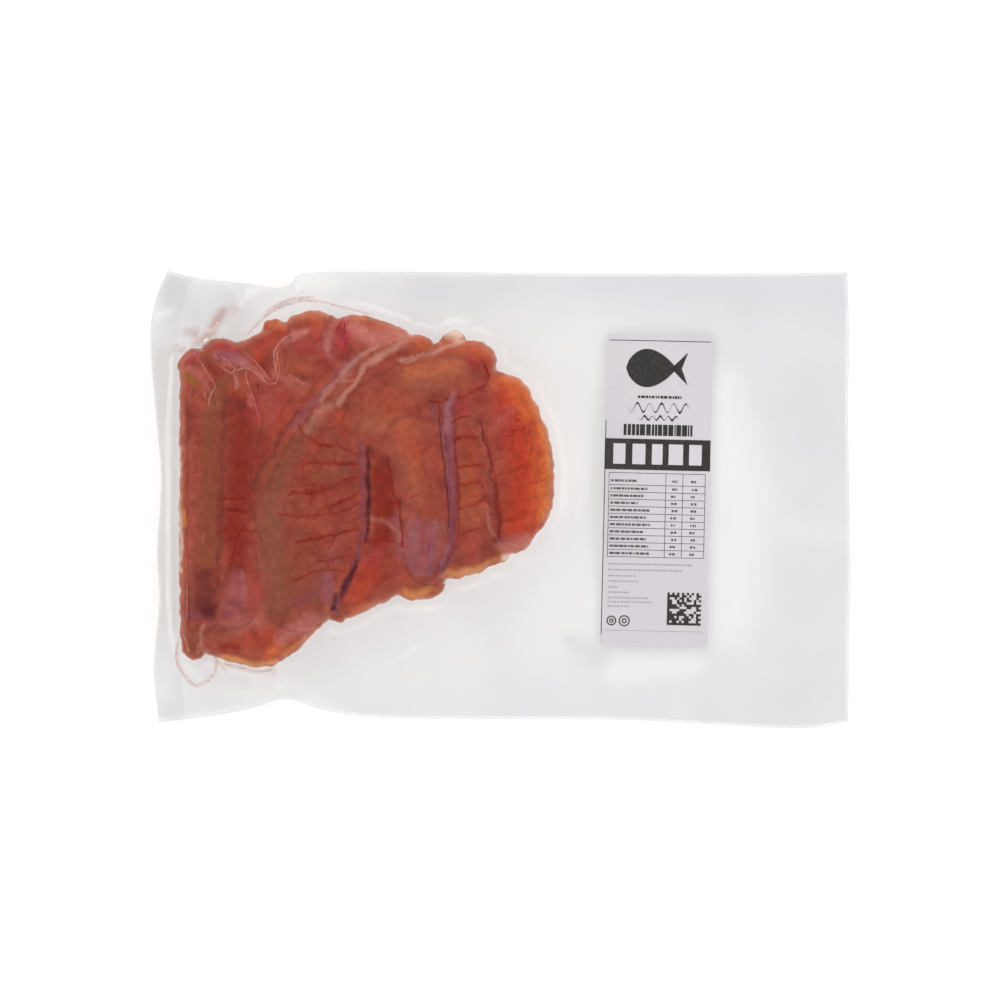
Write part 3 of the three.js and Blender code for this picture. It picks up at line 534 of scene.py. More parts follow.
# Stretches where the branches are full of dark blood
KNOTS = [
    [(-79.4, 15.2, 0.4), (-76, 15.4, 0.6), (-72.6, 15.1, 0.4)],
    [(-71.4, 14.9, 0.4), (-67.5, 15, 0.7), (-64.5, 14.9, 0.5), (-61.4, 15, 0.4)],
    [(-78, 23.2, 0.4), (-74.4, 23, 0.7), (-71.4, 22.4, 0.4)],
    [(-85, 2.6, 0.4), (-82.8, 2.5, 0.6), (-81, 2.7, 0.9), (-79.6, 4.2, 0.5)],
    [(-90.4, 2.2, 0.4), (-88.2, 3.8, 0.6), (-86.4, 3, 0.4)],
    [(-73, -3, 0.5), (-70.4, -2, 0.8), (-67.4, -0.4, 0.7), (-64, 1, 0.4)],
    [(-71, 6.8, 0.4), (-67.5, 8.2, 0.6), (-64, 9.2, 0.6), (-61.4, 9.6, 0.4)],
    [(-72.4, -15.5, 0.4), (-69.4, -14.9, 0.5), (-66.8, -13.8, 0.6), (-64.2, -13.1, 0.4)],
    [(-88, -18.4, 0.5), (-84.6, -17.8, 0.8), (-81.6, -17, 0.7), (-78, -16.3, 0.4)],
    [(-119.8, -4.2, 0.7), (-114, -4.4, 0.9), (-109, -5.2, 0.7)],
    [(-119.8, 0, 0.6), (-115, 0.5, 0.8), (-112.6, 0.7, 0.4)],
    [(-110.8, 0.2, 0.6), (-108.8, 0.2, 0.6)],
    [(-109.6, -12, 0.5), (-112, -14.4, 0.8), (-113.2, -18, 0.6)],
    [(-114.4, -23, 0.5), (-115.4, -26, 0.8)],
    [(-104, -12.6, 0.5), (-103.2, -16, 0.7), (-101.8, -18.2, 0.4)],
    [(-70.4, 71.8, 0.3), (-68.6, 74.6, 0.5), (-67.2, 76, 0.5), (-66.8, 73, 0.6), (-67.2, 69.6, 0.3)],
    [(-21.8, 32.5, 0.6), (-18.8, 34.2, 0.9), (-16.4, 35.6, 0.8), (-13.4, 35.8, 0.5)],
    [(-20.6, 24.8, 0.6), (-18.4, 26, 0.7), (-16, 27.2, 0.7)],
    [(-8.4, 59.4, 0.4), (-6.4, 56.5, 0.6), (-5.8, 53.4, 0.5)],
]

# Sharp little pleats of the film over the roe, drawn as pale ribbons that paint their glints: points with
# half widths
FILM_PLEATS_AND_GLINTS = [
    [
        (-130.4, 61.4, 0.3), (-126.1, 55.4, 0.4), (-123, 50.4, 0.45), (-122.3, 48, 0.45), (-123.7, 45.6, 0.4),
        (-124.6, 42.8, 0.4), (-124.7, 39.7, 0.3),
    ],
    [(-128.4, 47.6, 0.3), (-127, 45.6, 0.35), (-126, 42.6, 0.25)],
    [
        (-123, 63, 0.3), (-121.8, 59, 0.35), (-119.4, 56.6, 0.4), (-115.4, 54.1, 0.5), (-112.3, 55.4, 0.45),
        (-109.2, 56.3, 0.5), (-106.1, 54.8, 0.45), (-103.1, 52.3, 0.5), (-99.1, 49.6, 0.6),
        (-96.6, 49.8, 0.4),
        (-95.4, 51.2, 0.5), (-96, 55.4, 0.45), (-96.9, 59.7, 0.4), (-96.9, 63.4, 0.4), (-94.8, 66.4, 0.5),
        (-92.3, 68.9, 0.5), (-89, 71, 0.3),
    ],
    [(-95.2, 52, 0.3), (-94.5, 55.1, 0.35), (-95.4, 59.7, 0.35), (-95.6, 63, 0.3)],
    [
        (-110.8, 63.7, 0.25), (-108.3, 61.8, 0.3), (-105.2, 59.1, 0.35), (-101.5, 54.8, 0.4),
        (-98.6, 50.6, 0.5),
    ],
    [(-115.2, 54, 0.5), (-113.6, 52.6, 0.7), (-113, 49.4, 0.7), (-113, 46.6, 0.5)],
    [
        (-108.9, 55.1, 0.3), (-108.8, 52, 0.35), (-108, 48.9, 0.4), (-106.8, 45.5, 0.4), (-105.5, 42.8, 0.4),
        (-104.6, 38.8, 0.35), (-103.4, 35.1, 0.3),
    ],
    [(-122.8, 62.8, 0.2), (-120.9, 60.2, 0.3), (-119.6, 61.4, 0.3), (-118.4, 59.6, 0.3), (-117, 61.6, 0.3)],
    [(-116.8, 59.6, 0.3), (-115.4, 57.2, 0.4), (-113.4, 56.4, 0.4), (-114.8, 54.6, 0.3)],
    [(-88, 51.6, 0.3), (-85.6, 50, 0.4), (-83, 49.6, 0.3)],
    [(-134.6, -26, 0.25), (-134.2, -38.9, 0.35), (-134.4, -52, 0.3)],
    [(-127.6, -54, 0.3), (-128.6, -60.4, 0.4), (-127.8, -66, 0.3)],
]

# Pink drip that lies between the two webs beside the roe: points with half widths
DRIP_LINES = [
    [
        (-136.3, -57, 0.4), (-138.5, -60.4, 0.5), (-139.3, -68.2, 0.7), (-137.2, -73.7, 0.7),
        (-131.2, -79.8, 0.8), (-124.3, -76.3, 0.9), (-122.1, -71.2, 0.8), (-123.4, -65.6, 0.6),
    ],
    [(-136.3, -57.8, 0.4), (-134.6, -61.3, 0.6), (-133.7, -66.4, 0.5)],
    [(-122.1, -67.7, 0.5), (-120.4, -70.7, 0.6), (-117.8, -73.7, 0.5)],
    [(-119.5, -70.3, 0.5), (-111.8, -72, 0.8), (-105.3, -73.7, 0.6), (-98, -73.3, 0.4)],
    [
        (-109, 70.4, 0.35), (-106.4, 73.4, 0.5), (-103.4, 76.2, 0.6), (-100, 79.6, 0.8), (-96.4, 82, 0.9),
        (-91, 84.2, 0.9), (-84, 85.4, 0.7), (-76, 84.6, 0.6), (-66, 82, 0.5), (-54, 79, 0.4),
    ],
    [(-101.6, 79.8, 0.3), (-97.4, 83, 0.5), (-90, 86, 0.6), (-80, 87, 0.4)],
]
DRIP_STAINS = [
    (0.6, [(-130.6, 68, 2), (-126, 71, 2.4), (-123, 75, 2.4), (-119.5, 80, 2.6)]),
    (0.4, [(-137, 71, 4), (-129.4, 71, 5), (-122.4, 75.6, 5), (-114, 80, 4)]),
    (0.3, [(-119, 74, 3), (-112, 70, 4)]),
    (0.45, [(-138.4, 64.6, 2), (-134.4, 63, 2)]),
    (0.5, [(-137.2, -60.4, 1.29), (-138.9, -66.9, 1.29), (-136.3, -74.2, 1.29), (-130.7, -79.3, 1.29)]),
    (0.55, [(-118.2, -70.7, 1.72), (-107.9, -72.5, 2.15), (-97.6, -75, 2.15)]),
    (0.35, [(-125.1, -75.9, 3.44), (-112.2, -79.3, 4.3), (-99.3, -79.3, 3.44)]),
    (0.3, [(-133.7, -66.9, 3.44), (-129.4, -70.7, 3.44)]),
    (0.35, [(-106, 74.6, 1.6), (-99, 80.6, 2.2), (-88, 84.6, 2), (-66, 82, 1.6)]),
]
# Drip that is thick enough to look like flesh
DRIP_POOLS = [
    (0.4, [(-131, 66.6, 1.8), (-130.6, 69, 2.4), (-131.6, 71.8, 2)]),
    (0.5, [(-128.2, 66.8, 1.8), (-126, 69.4, 2.2), (-123.6, 71.6, 2)]),
    (0.3, [(-139, 65, 1.6), (-137, 64.6, 1.6)]),
    (0.4, [(-123.8, 72, 2.2), (-122.4, 76, 2.4), (-120.6, 79.4, 2.4), (-119, 81.4, 2)]),
    (0.25, [(-119, 81.4, 2), (-116, 82.2, 2), (-113.4, 82, 1.4)]),
    (0.25, [(-132, 71.4, 2), (-135, 72, 1.8)]),
    (0.4, [(-101, -72.4, 0.9), (-97.4, -73.2, 1)]),
]
# the bubbles' white is partly a painted glint
BUBBLE_GLINT_WHITE = (0.95, 0.93, 0.92)
BUBBLE_LIFT = 0.2  # a bubble's middle above the film
# Bubbles in the drip, some at white glints that their white paints: middle and radius
BUBBLES = [
    (-126, 67.5, 1.5), (-121.8, 75.4, 0.7), (-138, 52.2, 0.56), (-85.1, 89.2, 0.34),
    (-24.5, -35.5, 0.56), (-126.8, -69, 0.34),
]

# The label's print, in millimetres from the label's middle: left, bottom, right and top of each bar
PRINT_PROUD = 0.07  # the print's top above the paper
PRINT_SUNK = 0.08
BAND = (-22.7, 8.8, 22.7, 22.1)
BAND_BARS = (-19.0, 11.2, 19.0, 20.0)
# Start and width of each light block
BAND_BLOCKS = ((0, 5.2), (8.2, 5.6), (16.6, 4.6), (23.8, 6.2), (32.6, 5.4))
WEIGHT_ROW = (-14.8, 23.6, 14.8, 28.4)
TABLE = (-20.6, -28.7, 20.8, 7.4)
TABLE_COLUMNS = (3.9, 11.2)
TABLE_HEAD = 5.2
TABLE_ROWS = 10
NOTES = (-20.0, 0.62)  # where fine lines of print start, and their height
# Height and length of each fine line
NOTE_LINES = (
    (-31.8, 36), (-34.3, 32), (-36.9, 12), (-39.2, 13), (-41.8, 4), (-44, 9), (-46.3, 18),
    (-48.1, 19), (-50, 10),
)
CODE = (5.6, -57.6, 20.2, -43.6)
CODE_CELLS = (14, 14)
CODE_FILL = 0.58  # share of dark squares
# the second rule is a dark bar along the label's left edge: a painted shadow of that edge
RULES = ((-21.9, 64.2, 21.9, 64.5), (-22.6, -62, -22.3, 30))
FAINT_RULES = ((-21, -60.4, 21, -60.2),)
EMBLEM_MIDDLE = (-1.0, 52.6)
EMBLEM_SIZE = (26.5, 16.5)
WAVES = ((35.6, 26.0, 2.0), (31.2, 17.0, 0.9))  # height, length and rise of each wavy line
RINGS = ((-18.2, -56.2, 2.1), (-12.7, -56.2, 2.4))


def linear(code):
    """The linear colour of an sRGB hex code."""
    parts = [int(code[i : i + 2], 16) / 255 for i in (1, 3, 5)]
    return tuple(((p + 0.055) / 1.055) ** 2.4 if p > 0.04045 else p / 12.92 for p in parts)


# Curves and distances, in the tables' axes


def curve_at(points, shares):
    """Places on the smooth curve through some points, at shares of the way along them."""
    points = np.asarray(points, float).reshape(len(points), -1)
    last = len(points) - 1
    place = np.clip(np.atleast_1d(shares), 0, 1) * last
    start = np.minimum(place.astype(int), last - 1)
    t = (place - start)[:, None]
    before, here, after, beyond = (points[np.clip(start + k, 0, last)] for k in (-1, 0, 1, 2))
    leaving, arriving = (after - before) / 2, (beyond - here) / 2
    cubic = 2 * here - 2 * after + leaving + arriving
    square = 3 * after - 3 * here - 2 * leaving - arriving
    return ((cubic * t + square) * t + leaving) * t + here


def evenly_along(points, shares, fineness=200):
    """The same, at shares of the curve's real length."""
    steps = np.linspace(0, 1, fineness + 1)
    line = curve_at(points, steps)
    lengths = np.append(0, np.cumsum(np.linalg.norm(np.diff(line, axis=0), axis=1)))
    return curve_at(points, np.interp(np.asarray(shares) * lengths[-1], lengths, steps))


def smooth(value, low, high):
    """0 below low, 1 above high, and a soft ramp between them."""
    t = np.clip((value - low) / (high - low), 0, 1)
    return t * t * (3 - 2 * t)


def place_by(line, radii, places):
    """How far each place is outside a spine's width, and its share of the way out from the spine."""
    outside = np.full(len(places), np.inf)
    share = np.full(len(places), np.inf)
    for start, end, from_radius, to_radius in zip(line[:-1], line[1:], radii[:-1], radii[1:]):
        along = end - start
        offset = places - start
        t = np.clip(offset @ along / (along @ along), 0, 1)
        distance = np.linalg.norm(offset - t[:, None] * along, axis=1)
        radius = from_radius + (to_radius - from_radius) * t
        outside = np.minimum(outside, distance - radius)
        share = np.minimum(share, distance / radius)
    return outside, share


def spine_of(sac, steps, wider=0.0):
    """A sac's spine as short steps, and its half width at each of them."""
    points, widths, _ = sac
    shares = np.linspace(0, 1, steps + 1)
    return curve_at(points, shares), curve_at(widths, shares)[:, 0] + wider


def dome(share):
    """A sac's rounded height over its half width, from 1 at its spine to 0 at its side."""
    return np.maximum(1 - np.minimum(share, 1) ** ROUNDNESS, 0) ** (1 / ROUNDNESS)


PAINT_REACH = 1.9  # where a stroke has faded out, as a share of its half width


def painted(strokes, places):
    """How strongly some soft strokes cover each place, from 0 to 1."""
    cover = np.zeros(len(places))
    for strength, points in strokes:
        table = np.array(points, float)
        line = curve_at(table, np.linspace(0, 1, 5 * len(table)))
        _, share = place_by(line[:, :2], line[:, 2], places)
        cover = np.maximum(cover, strength * (1 - smooth(share, 0, PAINT_REACH)))
    return cover


def wandering(places, amount):
    """Places shifted a little this way and that, so that what is painted there has uneven edges."""
    shift = [ripples(places, 7.5, seed) + 0.5 * ripples(places, 2.8, seed + 20) for seed in (2.1, 9.4)]
    return places + amount * np.column_stack(shift)


# The film's surfaces


def film_base(places):
    """The film's lower and upper height at each place, and the place's distance outside the roe."""
    x, y = places.T
    nearest = np.full(len(places), np.inf)
    rises = []
    for sac in [*SACS.values(), *FILLING.values()]:
        outside, share = place_by(*spine_of(sac, SPINE_STEPS, FILM_OVER_ROE), places)
        nearest = np.minimum(nearest, outside)
        rises.append((sac[2] - SEAM_HEIGHT) * dome(share))
    outside = np.maximum(nearest, 0)
    pucker = sum(h * np.exp(-((x - a) ** 2 + (y - b) ** 2) / s**2) for (a, b), h, s in PUCKERS)
    swell = 1 + np.sin(2 * np.pi * x / SWELL_LENGTH[0]) * np.cos(2 * np.pi * y / SWELL_LENGTH[1])
    seam = SEAM_HEIGHT * (1 - smooth(outside, 0, SEAM_REACH))
    seam = seam + pucker * smooth(outside, 0, PUCKER_ONSET)
    seam = seam + SWELL_HEIGHT * swell * smooth(outside, SWELL_START, SEAM_REACH)
    rises.append(CHANNEL_HEIGHT * (1 - np.clip(nearest / CHANNEL_REACH, 0, 1)) ** 2)
    rise = sum(r**BRIDGING for r in rises) ** (1 / BRIDGING)
    inwards = 1 - np.clip(-nearest / FOOT_ROUNDING, 0, 1)
    foot = SEAM_HEIGHT * (1 - np.sqrt(1 - inwards**2))
    lower = np.where(nearest > 0, seam, foot)
    return lower, seam + SKIRT_THICKNESS + rise, nearest


def ripples(places, size, seed):
    """Soft random height from -1 to 1, with bumps of about the given size."""
    return np.array([noise.noise(Vector((x / size, y / size, seed))) for x, y in places])


def ridge(points, half_width, places):
    """A soft ridge along a line: 1 on the line, fading out over its half width."""
    line = curve_at(np.array(points, float)[:, :2], np.linspace(0, 1, 4 * len(points)))
    distance, _ = place_by(line, np.full(len(line), 1e-6), places)
    return np.exp(-((distance / half_width) ** 2))


THINNEST = 0.2  # the least distance between the two webs


def film_surfaces(places, settings):
    """The film's two surfaces over a grid of places, with its creases, and the distance outside the roe."""
    rows = places.shape[:2]
    flat = places.reshape(-1, 2)
    lower, upper, outside = film_base(flat)
    upper = drawn_taut(upper.reshape(rows), outside.reshape(rows)).ravel()
    for height, half_width, points in FILM_CREASES:
        upper = upper + height * ridge(points, half_width, flat)
    for points in DRIP_LINES:
        upper = upper + settings.drip_bulge / MM * ridge(points, 1.0, flat)
    ring = np.linalg.norm(flat - RING_MIDDLE, axis=1) - RING_RADIUS
    upper = upper + RING_HEIGHT * np.exp(-((ring / RING_WIDTH) ** 2)) * (flat[:, 0] > RING_MIDDLE[0])
    loose = smooth(outside, 0, 10)
    amount = settings.ripple_height / MM * (0.25 + 0.75 * loose) * (1 - 0.9 * label_cover(flat))
    upper = upper + amount * (ripples(flat, 13, 3.7) + 0.4 * ripples(flat, 4.5, 8.1))
    upper = np.maximum(upper, lower + THINNEST)
    return lower.reshape(rows), upper.reshape(rows), outside.reshape(rows)


def drawn_taut(upper, outside):
    """The film's height over a grid once it bridges the creases between the sacs."""
    taut = upper.copy()
    for _ in range(TAUT_ROUNDS):
        middle = sum(np.roll(taut, step, axis) for step in (1, -1) for axis in (0, 1)) / 4
        taut = np.where(outside < -TAUT_FROM, np.maximum(upper, middle), upper)
    return upper + TAUTNESS * (taut - upper)


def label_cover(places):
    """1 under the label and 0 a little way beside it."""
    cos, sin = math.cos(LABEL_TILT), math.sin(LABEL_TILT)
    turn = np.array([[cos, sin], [-sin, cos]])
    u, v = np.abs(turn @ (places - LABEL_MIDDLE).T)
    beyond = np.maximum(u - LABEL_SIZE[0] / 2, v - LABEL_SIZE[1] / 2)
    return 1 - smooth(beyond, 0, 5)


def to_frame(places, heights):
    """Vertex positions in metres, from table axes to the frame's."""
    shifted = places + FRAME_SHIFT
    return np.column_stack([shifted, heights]) * MM


# Meshes and pieces


def mesh_places(mesh):
    """A mesh's vertex positions as an array."""
    values = np.empty(len(mesh.vertices) * 3)
    mesh.vertices.foreach_get("co", values)
    return values.reshape(-1, 3)


def give_places(mesh, places):
    mesh.vertices.foreach_set("co", np.asarray(places, float).ravel())
    mesh.update()


def give_mask(mesh, name, values):
    """A soft mask on a mesh, one value for each vertex."""
    mask = mesh.attributes.new(name, "FLOAT", "POINT")
    mask.data.foreach_set("value", np.asarray(values, np.float32))


def piece(mesh, material, replaced=()):
    """A finished piece of the pouch, which rides on its one body."""
    made = bpy.data.objects.new(mesh.name, mesh)
    bpy.context.scene.collection.objects.link(made)
    mesh.materials.append(material)
    mesh.polygons.foreach_set("use_smooth", np.ones(len(mesh.polygons), bool))
    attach(made, "root")
    if replaced:
        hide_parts(*replaced)
    return made


def mesh_from(bm, name):
    mesh = bpy.data.meshes.new(name)
    bm.to_mesh(mesh)
    bm.free()
    return mesh


def turned_outwards(mesh):
    """The same mesh with all its faces turned outwards."""
    bm = bmesh.new()
    bm.from_mesh(mesh)
    bmesh.ops.recalc_face_normals(bm, faces=bm.faces)
    bm.to_mesh(mesh)
    bm.free()
    return mesh


TUBE_ROUNDNESS = 4  # the tubes' bevel resolution
RIBBON_SPREAD = 1.3  # how much wider the drip's and the pleats' ribbons are than their tables say


def tubes(name, lines):
    """Closed round tubes along lines of (x, y, z, radius), all in millimetres, as one mesh."""
    curve = bpy.data.curves.new(name, "CURVE")
    curve.dimensions = "3D"
    curve.bevel_depth = MM
    curve.bevel_resolution = TUBE_ROUNDNESS
    curve.use_fill_caps = True
    for line in lines:
        spline = curve.splines.new("POLY")
        spline.points.add(len(line) - 1)
        places = to_frame(line[:, :2], line[:, 2])
        spline.points.foreach_set("co", np.column_stack([places, np.ones(len(line))]).ravel())
        spline.points.foreach_set("radius", line[:, 3])
    holder = bpy.data.objects.new(name, curve)
    bpy.context.scene.collection.objects.link(holder)
    shaped = holder.evaluated_get(bpy.context.evaluated_depsgraph_get())
    mesh = bpy.data.meshes.new_from_object(shaped)
    mesh.name = name
    bpy.data.objects.remove(holder)
    bpy.data.curves.remove(curve)
    return mesh


def stepped(points, step):
    """A line of (x, y, radius) through some points, in even short steps, with thin ends."""
    table = np.array(points, float)
    length = np.linalg.norm(np.diff(table[:, :2], axis=0), axis=1).sum()
    line = evenly_along(table, np.linspace(0, 1, max(4, round(length / step) + 1)))
    line[[0, -1], 2] *= 0.35
    return line


def surface_of(names):
    """The joined surface of some pieces, for finding heights on it."""
    corners, faces = [], []
    for name in names:
        mesh = bpy.data.objects[name].data
        start = len(corners)
        corners += [v.co.copy() for v in mesh.vertices]
        faces += [[start + i for i in face.vertices] for face in mesh.polygons]
    return BVHTree.FromPolygons(corners, faces)


SKY = 0.2  # heights are found by looking straight down from here, in metres


def heights_on(surface, places, otherwise=SEAM_HEIGHT):
    """The surface's height in millimetres below each place, or another value where it has none."""
    found = []
    for x, y in places + FRAME_SHIFT:
        hit, _, _, _ = surface.ray_cast(Vector((x * MM, y * MM, SKY)), Vector((0, 0, -1)))
        found.append(hit.z / MM if hit else otherwise)
    return np.array(found)


def uneven(line, draw, sideways, swelling):
    """A vessel's line that wanders a little, in millimetres, and whose width comes and goes."""
    start = draw.uniform(0, 100)
    way = np.append(0, np.cumsum(np.linalg.norm(np.diff(line[:, :2], axis=0), axis=1)))
    ahead = np.gradient(line[:, :2], axis=0)
    beside = np.column_stack([-ahead[:, 1], ahead[:, 0]]) / np.linalg.norm(ahead, axis=1)[:, None]
    drift = np.array([noise.noise(Vector((s / 3.5, start, 0.5))) for s in way])
    width = np.array([noise.noise(Vector((s / 2.4, start, 7.5))) for s in way])
    places = line[:, :2] + beside * (sideways * drift)[:, None]
    return np.column_stack([places, line[:, 2] * (1 + swelling * width)])


def walk(draw, place, angle, length, radius, step=0.7):
    """A fine vessel that wanders off from a place at about an angle, and thins out."""
    line = []
    x, y = place
    turn = angle
    count = max(3, round(length / step))
    for i in range(count + 1):
        line.append((x, y, radius * (1 - 0.6 * i / count) * draw.uniform(0.7, 1.3)))
        turn += draw.gauss(0, 0.15) + 0.15 * (angle - turn)
        x += step * math.cos(turn)
        y += step * math.sin(turn)
    return np.array(line)


def soft_lines(name, lines, surface, rise, lift=0.0):
    """Thin closed ribbons on a surface, along lines of (x, y, half width); their mask fades sideways."""
    mesh = tubes(name, [np.insert(line, 2, 0, axis=1) for line in lines])
    flat = mesh_places(mesh) / MM
    up = np.array([vertex.normal.z for vertex in mesh.vertices])
    places = flat[:, :2] - FRAME_SHIFT
    give_places(mesh, to_frame(places, heights_on(surface, places) + lift + rise * up))
    give_mask(mesh, "soft", np.maximum(up, 0) ** 2)
    corners = np.array([edge.vertices[:] for edge in mesh.edges])
    side = mesh.attributes.new("sharp_edge", "BOOLEAN", "EDGE")
    side.data.foreach_set("value", (np.abs(up[corners]) < 0.25).all(axis=1))
    return mesh


# Material building


def add_node(tree, kind, **values):
    node = tree.nodes.new(kind)
    for name, value in values.items():
        setattr(node, name, value)
    return node


def feed(tree, socket, value):
    """Links an output to a socket, or sets the socket's own value."""
    if isinstance(value, bpy.types.NodeSocket):
        tree.links.new(value, socket)
    else:
        socket.default_value = value


def mixed(tree, share, first, second):
    node = add_node(tree, "ShaderNodeMix", data_type="RGBA")
    feed(tree, node.inputs[0], share)
    feed(tree, node.inputs[6], first)
    feed(tree, node.inputs[7], second)
    return node.outputs[2]


def ranged(tree, value, low, high, to_low=0.0, to_high=1.0):
    """A value moved softly from one range to another."""
    node = add_node(tree, "ShaderNodeMapRange", interpolation_type="SMOOTHSTEP")
    for socket, number in zip(node.inputs, (value, low, high, to_low, to_high)):
        feed(tree, socket, number)
    return node.outputs[0]


def maths(tree, operation, first, second):
    node = add_node(tree, "ShaderNodeMath", operation=operation)
    feed(tree, node.inputs[0], first)
    feed(tree, node.inputs[1], second)
    return node.outputs[0]


def masked(tree, name):
    return add_node(tree, "ShaderNodeAttribute", attribute_name=name).outputs["Fac"]


def noise_of(tree, scale, detail=2.0, roughness=0.5, distortion=0.0):
    """Noise on the piece's own coordinates; scale is in turns a metre."""
    node = add_node(tree, "ShaderNodeTexNoise")
    place = add_node(tree, "ShaderNodeTexCoord")
    tree.links.new(place.outputs["Object"], node.inputs["Vector"])
    feed(tree, node.inputs["Scale"], scale)
    feed(tree, node.inputs["Detail"], detail)
    feed(tree, node.inputs["Roughness"], roughness)
    feed(tree, node.inputs["Distortion"], distortion)
    return node.outputs["Fac"]


def new_group(name, inputs, outputs):
    """An empty shader node group with named sockets, and its two end nodes."""
    group = bpy.data.node_groups.new(name, "ShaderNodeTree")
    for label, kind, default in inputs:
        socket = group.interface.new_socket(label, in_out="INPUT", socket_type=kind)
        socket.default_value = default
    for label, kind in outputs:
        group.interface.new_socket(label, in_out="OUTPUT", socket_type=kind)
    return group, add_node(group, "NodeGroupInput"), add_node(group, "NodeGroupOutput")


def placed(tree, group, **values):
    """A group in a material, with its own values; underscores stand for spaces."""
    node = add_node(tree, "ShaderNodeGroup", node_tree=group)
    for name, value in values.items():
        feed(tree, node.inputs[name.replace("_", " ")], value)
    return node.outputs[0]


def uneven_edge_group():
    """Breaks the soft edge of a mask with noise."""
    group, start, end = new_group(
        "Uneven edge",
        [
            ("Mask", "NodeSocketFloat", 0.0),
            ("Scale", "NodeSocketFloat", 300.0),
            ("Amount", "NodeSocketFloat", 0.5),
        ],
        [("Mask", "NodeSocketFloat")],
    )
    wobble = maths(group, "SUBTRACT", noise_of(group, start.outputs["Scale"], 3.0, 0.6), 0.5)
    wobble = maths(group, "MULTIPLY", wobble, start.outputs["Amount"])
    edge = start.outputs["Mask"]
    inside = ranged(group, edge, 0.0, 0.25)
    moved = maths(group, "ADD", edge, maths(group, "MULTIPLY", wobble, inside))
    feed(group, end.inputs["Mask"], ranged(group, moved, 0.05, 0.95))
    return group


def netting_group():
    """A fine net of vessels: 1 on the lines."""
    group, start, end = new_group(
        "Fine netting",
        [("Scale", "NodeSocketFloat", 220.0), ("Width", "NodeSocketFloat", 0.06)],
        [("Mask", "NodeSocketFloat")],
    )
    place = add_node(group, "ShaderNodeTexCoord")
    warp = add_node(group, "ShaderNodeTexNoise")
    feed(group, warp.inputs["Scale"], 260.0)
    feed(group, warp.inputs["Detail"], 2.0)
    group.links.new(place.outputs["Object"], warp.inputs["Vector"])
    shifted = add_node(group, "ShaderNodeVectorMath", operation="MULTIPLY_ADD")
    group.links.new(warp.outputs["Color"], shifted.inputs[0])
    shifted.inputs[1].default_value = (0.006, 0.006, 0.006)
    group.links.new(place.outputs["Object"], shifted.inputs[2])
    cells = add_node(group, "ShaderNodeTexVoronoi", feature="DISTANCE_TO_EDGE")
    group.links.new(shifted.outputs[0], cells.inputs["Vector"])
    group.links.new(start.outputs["Scale"], cells.inputs["Scale"])
    lines = ranged(group, cells.outputs["Distance"], 0.0, start.outputs["Width"], 1.0, 0.0)
    broken = ranged(group, noise_of(group, 180.0), 0.42, 0.62)
    feed(group, end.inputs["Mask"], maths(group, "MULTIPLY", lines, broken))
    return group


def relief_group():
    """A moist, finely uneven surface as a normal."""
    group, start, end = new_group(
        "Fine relief",
        [
            ("Scale", "NodeSocketFloat", 900.0),
            ("Depth", "NodeSocketFloat", 0.0001),
            ("Detail", "NodeSocketFloat", 3.0),
        ],
        [("Normal", "NodeSocketVector")],
    )
    bump = add_node(group, "ShaderNodeBump")
    feed(group, bump.inputs["Height"], noise_of(group, start.outputs["Scale"], start.outputs["Detail"], 0.55))
    feed(group, bump.inputs["Distance"], start.outputs["Depth"])
    feed(group, end.inputs["Normal"], bump.outputs["Normal"])
    return group


def shared(name, make):
    """A node group, made the first time that it is asked for."""
    return bpy.data.node_groups.get(name) or make()


def new_material(name):
    material = bpy.data.materials.new(name)
    material.use_nodes = True
    tree = material.node_tree
    return material, tree, tree.nodes["Principled BSDF"].inputs


def opaque(colour):
    return (*colour, 1.0)


